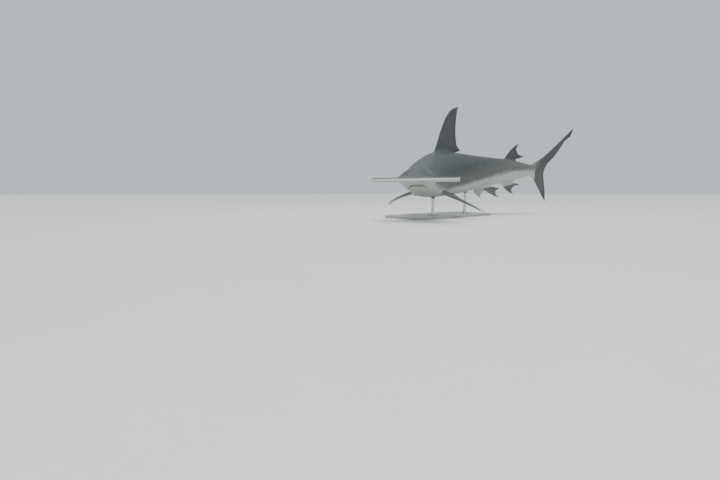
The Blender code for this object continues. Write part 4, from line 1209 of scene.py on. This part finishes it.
@dataclass
class Teeth:
    """The gums, two rows of teeth in each jaw, and the tongue."""

    skin: Skin
    across: int = 30
    length: float = 0.0115
    width: float = 0.0085
    around: int = 8
    gums: tuple[tuple[str, float, float, float, float], ...] = (
        # name, behind the upper lip, narrowed to, height, radius
        ("gum_upper", 0.008, 0.91, -0.101, 0.0060),
        ("gum_lower", 0.037, 0.84, -0.1315, 0.0050),
    )
    tongue_place: tuple[float, float, float] = (0.345, 0.0, -0.131)
    tongue_size: tuple[float, float, float] = (0.042, 0.052, 0.011)
    rows: tuple[tuple[str, float, float, float, float, float], ...] = (
        # jaw, behind the upper lip, narrowed to, height, which way up, lean backwards
        ("upper", 0.004, 0.930, -0.105, -1.0, 0.25),
        ("upper", 0.012, 0.870, -0.102, -1.0, 0.85),
        ("lower", 0.033, 0.860, -0.128, 1.0, 0.15),
        ("lower", 0.041, 0.800, -0.127, 1.0, 0.80),
    )

    def tooth(self, size: float, up: float, lean: float) -> np.ndarray:
        """Args: size: 1 for full. up, lean. Returns: rings of a small blade, from root to point."""
        rings = []
        turns = np.arange(self.around) * 2 * math.pi / self.around
        for share in (-0.45, 0.0, 0.45, 0.8, 1.0):
            half = self.width / 2 * size * (1 - max(share, 0.0)) ** 0.8 + 0.0003
            thick = 0.0016 * size * (1 - 0.8 * max(share, 0.0))
            out = self.length * size * share
            aside = half * np.cos(turns) + 0.0012 * size * share**2
            rings.append(np.column_stack(
                (lean * out + thick * np.sin(turns), aside, np.full(self.around, up * out))))
        return np.array(rings)

    def row(self, behind: float, narrow: float, height: float, up: float, lean: float) -> tuple[list, list]:
        """Args: behind, narrow, height, up, lean. Returns: the row's points and faces."""
        points, faces = [], []
        turns = np.linspace(-0.80, 0.80, self.across)
        arch = self.skin.mouth.arch(behind, turns, narrow)
        slopes = np.gradient(arch, axis=0)
        for (station, left), slope, turn in zip(arch, slopes, turns):
            size = 1 - 0.40 * abs(turn) ** 1.5
            tangent = slope / np.linalg.norm(slope)
            inward = np.array((tangent[1], -tangent[0]))
            rings = self.tooth(size, up, lean)
            start = len(points) * self.around
            for ring in rings:
                plane = np.outer(ring[:, 0], inward) + np.outer(ring[:, 1], tangent) + (station, left)
                points.append(np.column_stack((plane, height + ring[:, 2])))
            blade = loft_faces(len(rings), self.around, (True, True))
            faces += [tuple(start + number for number in face) for face in blade]
        return points, faces

    def tube(
            self, name: str, behind: float, narrow: float, height: float, radius: float) -> bpy.types.Mesh:
        """Args: name, behind, narrow, height, radius. Returns: a gum's closed tube along the arch."""
        turns = np.linspace(-0.90, 0.90, 41)
        arch = self.skin.mouth.arch(behind, turns, narrow)
        slopes = np.gradient(arch, axis=0)
        rounds = np.arange(12) * math.pi / 6
        rings = []
        for (station, left), slope, turn in zip(arch, slopes, turns):
            tangent = slope / np.linalg.norm(slope)
            inward = np.array((tangent[1], -tangent[0]))
            wide = radius * (1 - abs(turn) ** 6 * 0.6)
            plane = np.outer(wide * 1.5 * np.cos(rounds), inward) + (station, left)
            rings.append(np.column_stack((plane, height + wide * np.sin(rounds))))
        return mesh_of(name, np.vstack(rings), loft_faces(len(rings), 12, (True, True)))

    def put(self, name: str, mesh: bpy.types.Mesh, material: bpy.types.Material) -> None:
        """Args: name, mesh: straight. material. Bends the mesh into the pose as a piece of its own."""
        set_points(mesh, self.skin.spine.bent(points_of(mesh)))
        mesh.materials.append(material)
        for polygon in mesh.polygons:
            polygon.use_smooth = True
        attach(new_object(name, mesh), "root")
        log.info("%s: %d faces", name, len(mesh.polygons))

    def make(self, enamel: bpy.types.Material, flesh: bpy.types.Material) -> None:
        """Args: enamel, flesh."""
        for jaw in ("upper", "lower"):
            points, faces = [], []
            for _, behind, narrow, height, up, lean in (row for row in self.rows if row[0] == jaw):
                start = len(points) * self.around
                more_points, more_faces = self.row(behind, narrow, height, up, lean)
                points += more_points
                faces += [tuple(start + number for number in face) for face in more_faces]
            self.put(f"teeth_{jaw}", mesh_of(f"teeth_{jaw}", np.vstack(points), faces), enamel)
        for gum in self.gums:
            self.put(gum[0], self.tube(*gum), flesh)
        self.put("tongue", self.skin.ball(self.tongue_place, self.tongue_size, 40), flesh)


@dataclass
class Stand:
    """The flat base and the two turned rods that carry the body."""

    spine: Spine
    form: BodyForm
    corner: float = 0.10
    edge: float = 0.004
    rod_radius: float = 0.016
    foot_radius: float = 0.055
    screw_circle: float = 0.041
    rods: tuple[tuple[str, float], ...] = (("front", 0.93), ("rear", 1.52))

    def piece(self, name: str, points: np.ndarray, faces: list, material: bpy.types.Material, slot: str,
              sharp: float = 35.0) -> bpy.types.Object:
        """Args: name, points, faces, material. slot: not used. sharp: degrees. Returns: the riding piece.
        """
        mesh = mesh_of(name, points, faces)
        mesh.materials.append(material)
        for polygon in mesh.polygons:
            polygon.use_smooth = True
        mesh.set_sharp_from_angle(angle=math.radians(sharp))
        log.info("%s: %d faces", name, len(faces))
        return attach(new_object(name, mesh), "root")

    def base(self, shadow_grey_paint: bpy.types.Material) -> None:
        """Args: paint: a grey lacquer darkened so that the plate stands in for the shark's shadow on the
        floor, a painted shadow. Makes the plate, with round corners and softened edges.
        """
        low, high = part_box("stand_base")
        turns = np.linspace(0, math.pi / 2, 13)
        levels = [(low.z, 0.0015), (low.z + 0.0015, 0.0)]
        levels += [(high.z - self.edge * (1 - math.sin(t)), self.edge * (1 - math.cos(t)))
                   for t in np.linspace(0, math.pi / 2, 5)]
        rings = []
        for height, inset in levels:
            radius = self.corner - inset
            ring = []
            for quarter, (sx, sy) in enumerate(((1, 1), (-1, 1), (-1, -1), (1, -1))):
                middle = ((high.x if sx > 0 else low.x) - sx * self.corner,
                          (high.y if sy > 0 else low.y) - sy * self.corner)
                for turn in turns + quarter * math.pi / 2:
                    across, along = radius * math.cos(turn), radius * math.sin(turn)
                    ring.append((middle[0] + across, middle[1] + along, height))
            rings.append(ring)
        count = len(rings[0])
        faces = loft_faces(len(rings), count, (False, False))
        faces += [tuple(range(count)), tuple(range((len(rings) - 1) * count, len(rings) * count))]
        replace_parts(self.piece("base_plate", np.vstack(rings), faces, shadow_grey_paint, "stand_paint"), "stand_base")

    def turned(self, name: str, middle: tuple[float, float], outline: list, material: bpy.types.Material,
               slot: str) -> bpy.types.Object:
        """Args: name, middle. outline: (radius, height) pairs. material, slot. Returns: the piece."""
        around = 56
        turns = np.arange(around) * 2 * math.pi / around
        rings = [
            np.column_stack((middle[0] + radius * np.cos(turns), middle[1] + radius * np.sin(turns),
                             np.full(around, height)))
            for radius, height in outline
        ]
        faces = loft_faces(len(rings), around, (False, False))
        faces += [tuple(range(around)), tuple(range((len(rings) - 1) * around, len(rings) * around))]
        return self.piece(name, np.vstack(rings), faces, material, slot)

    def screw(
            self, name: str, middle: tuple[float, float], height: float, steel: bpy.types.Material) -> None:
        """Args: name, middle, height: of its seat. steel. Makes a button head with a hexagonal socket."""
        around = 24
        turns = np.arange(around) * 2 * math.pi / around
        hexagon = np.cos(math.pi / 6) / np.cos((turns % (math.pi / 3)) - math.pi / 6)
        outline = ((0.0046, -0.001, 0), (0.0048, 0.0004, 0), (0.0042, 0.0019, 0), (0.0028, 0.0026, 0),
                   (0.0023, 0.0026, 1), (0.0022, 0.0008, 1))
        rings = []
        for radius, lift, flat in outline:
            reach = radius * (hexagon if flat else 1.0) * np.ones(around)
            across, along = reach * np.cos(turns), reach * np.sin(turns)
            rings.append(np.column_stack(
                (middle[0] + across, middle[1] + along, np.full(around, height + lift))))
        faces = loft_faces(len(rings), around, (False, False))
        faces += [tuple(range(around)), tuple(range((len(rings) - 1) * around, len(rings) * around))]
        self.piece(name, np.vstack(rings), faces, steel, "stand_steel")

    def make(
            self, shadow_grey_paint: bpy.types.Material, steel: bpy.types.Material, rubber: bpy.types.Material) -> None:
        """Args: paint, steel, rubber."""
        self.base(shadow_grey_paint)
        top_of_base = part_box("stand_base")[1].z
        for name, station in self.rods:
            belly = self.spine.place(station, 0.0, float(Profile(self.form.belly)(station)))
            middle = (belly.x, belly.y)
            foot, rod = self.foot_radius, self.rod_radius
            flange = ((-0.0015, 0.0003), (0.0, 0.0018), (0.0, 0.0085), (-0.0015, 0.0100))
            collar = (
                (0.012, 0.0108), (0.0090, 0.0130), (0.0075, 0.0240), (0.0065, 0.0300),
                (0.0050, 0.0315), (0.0005, 0.0318), (0.0, 0.0325),
            )
            outline = [(foot + wider, top_of_base + lift) for wider, lift in flange]
            outline += [(rod + wider, top_of_base + lift) for wider, lift in collar]
            outline.append((rod, belly.z + 0.012))
            piece = self.turned(f"rod_{name}", middle, outline, steel, "stand_steel")
            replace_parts(piece, f"stand_rod_{name}")
            rubber_cup = (
                (0.0002, -0.016), (0.0040, -0.015), (0.0060, -0.009),
                (0.0085, -0.002), (0.0085, 0.008), (0.0002, 0.008),
            )
            cup = [(rod + wider, belly.z + lift) for wider, lift in rubber_cup]
            self.turned(f"cup_{name}", middle, cup, rubber, "stand_paint")
            for number in range(4):
                turn, reach = math.pi / 4 + number * math.pi / 2, self.screw_circle
                seat = (middle[0] + reach * math.cos(turn), middle[1] + reach * math.sin(turn))
                self.screw(f"screw_{name}_{number + 1}", seat, top_of_base + 0.0102, steel)


@dataclass
class Studio:
    """The floor, the light and the camera at the photograph's viewing angle."""

    spine: Spine
    distance: float = 3.17
    aside: float = 0.459
    drop: float = 0.179
    azimuth: float = math.radians(50.7)
    pitch: float = math.radians(7.7)
    lens: float = 17.5

    def camera(self) -> None:
        """Sets the camera from the place of the front of the head."""
        start = self.spine.place(0.0, 0.0, 0.0)
        right = Vector((math.cos(self.azimuth), math.sin(self.azimuth), 0.0))
        ahead = Vector((-math.sin(self.azimuth), math.cos(self.azimuth), 0.0))
        place = start - self.aside * right - self.distance * ahead
        place.z = start.z - self.drop
        look = ahead * math.cos(self.pitch) - Vector((0.0, 0.0, math.sin(self.pitch)))
        camera = bpy.data.cameras.new("camera")
        camera.lens, camera.sensor_width = self.lens, 36.0
        camera.clip_end = 200.0
        made = bpy.data.objects.new("camera", camera)
        made.location = place
        made.rotation_euler = look.to_track_quat("-Z", "Y").to_euler()
        bpy.context.scene.collection.objects.link(made)
        bpy.context.scene.camera = made

    def lamp(
            self, name: str, place: Vector, aim: Vector, size: float, power: float, tint: Colour) -> None:
        """Args: name, place, aim, size: of a square soft light. power, tint: of its light."""
        light = bpy.data.lights.new(name, "AREA")
        light.shape, light.size, light.energy, light.color = "SQUARE", size, power, tint
        made = bpy.data.objects.new(name, light)
        made.location = place
        made.rotation_euler = (aim - place).to_track_quat("-Z", "Y").to_euler()
        bpy.context.scene.collection.objects.link(made)

    def make(self) -> None:
        """Lays the floor and sets the lights and the camera."""
        low, high = CAD_BOX
        middle = (low + high) / 2
        corners = [(-60.0, -60.0, 0.0), (60.0, -60.0, 0.0), (60.0, 60.0, 0.0), (-60.0, 60.0, 0.0)]
        floor = new_object("floor", mesh_of("floor", np.array(corners), [(0, 1, 2, 3)]))
        floor.location.z = low.z
        floor.data.materials.append(Plain("floor_paint", (0.66, 0.665, 0.65), 0.015, 0.8).make())
        world = bpy.data.worlds.new("studio")
        world.use_nodes = True
        back = world.node_tree.nodes["Background"]
        back.inputs["Color"].default_value = (0.66, 0.71, 0.75, 1.0)
        back.inputs["Strength"].default_value = 1.0
        bpy.context.scene.world = world
        sky = bpy.data.lights.new("soft_sky", "SUN")
        sky.energy, sky.angle, sky.color = 2.2, math.radians(40), (1.0, 0.985, 0.96)
        made = bpy.data.objects.new("soft_sky", sky)
        made.rotation_euler = (math.radians(14), math.radians(10), 0.0)
        bpy.context.scene.collection.objects.link(made)
        self.lamp("overhead", middle + Vector((-0.6, -0.8, 3.6)), middle, 3.0, 60.0, (1.0, 0.98, 0.95))
        self.lamp("fill", middle + Vector((3.2, -3.6, 1.2)), middle, 3.0, 40.0, (0.95, 0.98, 1.0))
        self.camera()


def main() -> None:
    """Builds the pieces in order."""
    logging.basicConfig(level=logging.INFO, format="%(message)s")
    skin = Skin()
    made = skin.make(SharkSkin().make())
    log.info("skin: %d faces", len(made.data.polygons))
    Eyes(skin).make(EyeGlaze().make())
    Teeth(skin).make(
        Plain("enamel", (0.72, 0.69, 0.60), 0.08, 0.22, coat=0.4, grain=(300.0, 300.0, 90.0)).make(),
        Plain("mouth_flesh", (0.115, 0.062, 0.056), 0.25, 0.35, coat=0.4, grain=(220.0,) * 3).make(),
    )
    Stand(skin.spine, skin.form).make(
        # The base's grey lacquer is dark so that the base stands in for the shark's shadow on the floor: a
        # painted shadow on a real stand.
        Plain("grey_lacquer_painted_shadow", (0.27, 0.28, 0.28), 0.02, 0.38, coat=0.25, grain=(500.0,) * 3,
              depth=0.0001).make(),
        Plain("brushed_steel", (0.60, 0.60, 0.59), 0.06, 0.32, 1.0, grain=(900.0, 900.0, 30.0),
              depth=0.0001).make(),
        Plain("rubber", (0.030, 0.030, 0.032), 0.15, 0.65, grain=(400.0,) * 3).make(),
    )
    Studio(skin.spine).make()


if __name__ == "__main__":
    main()
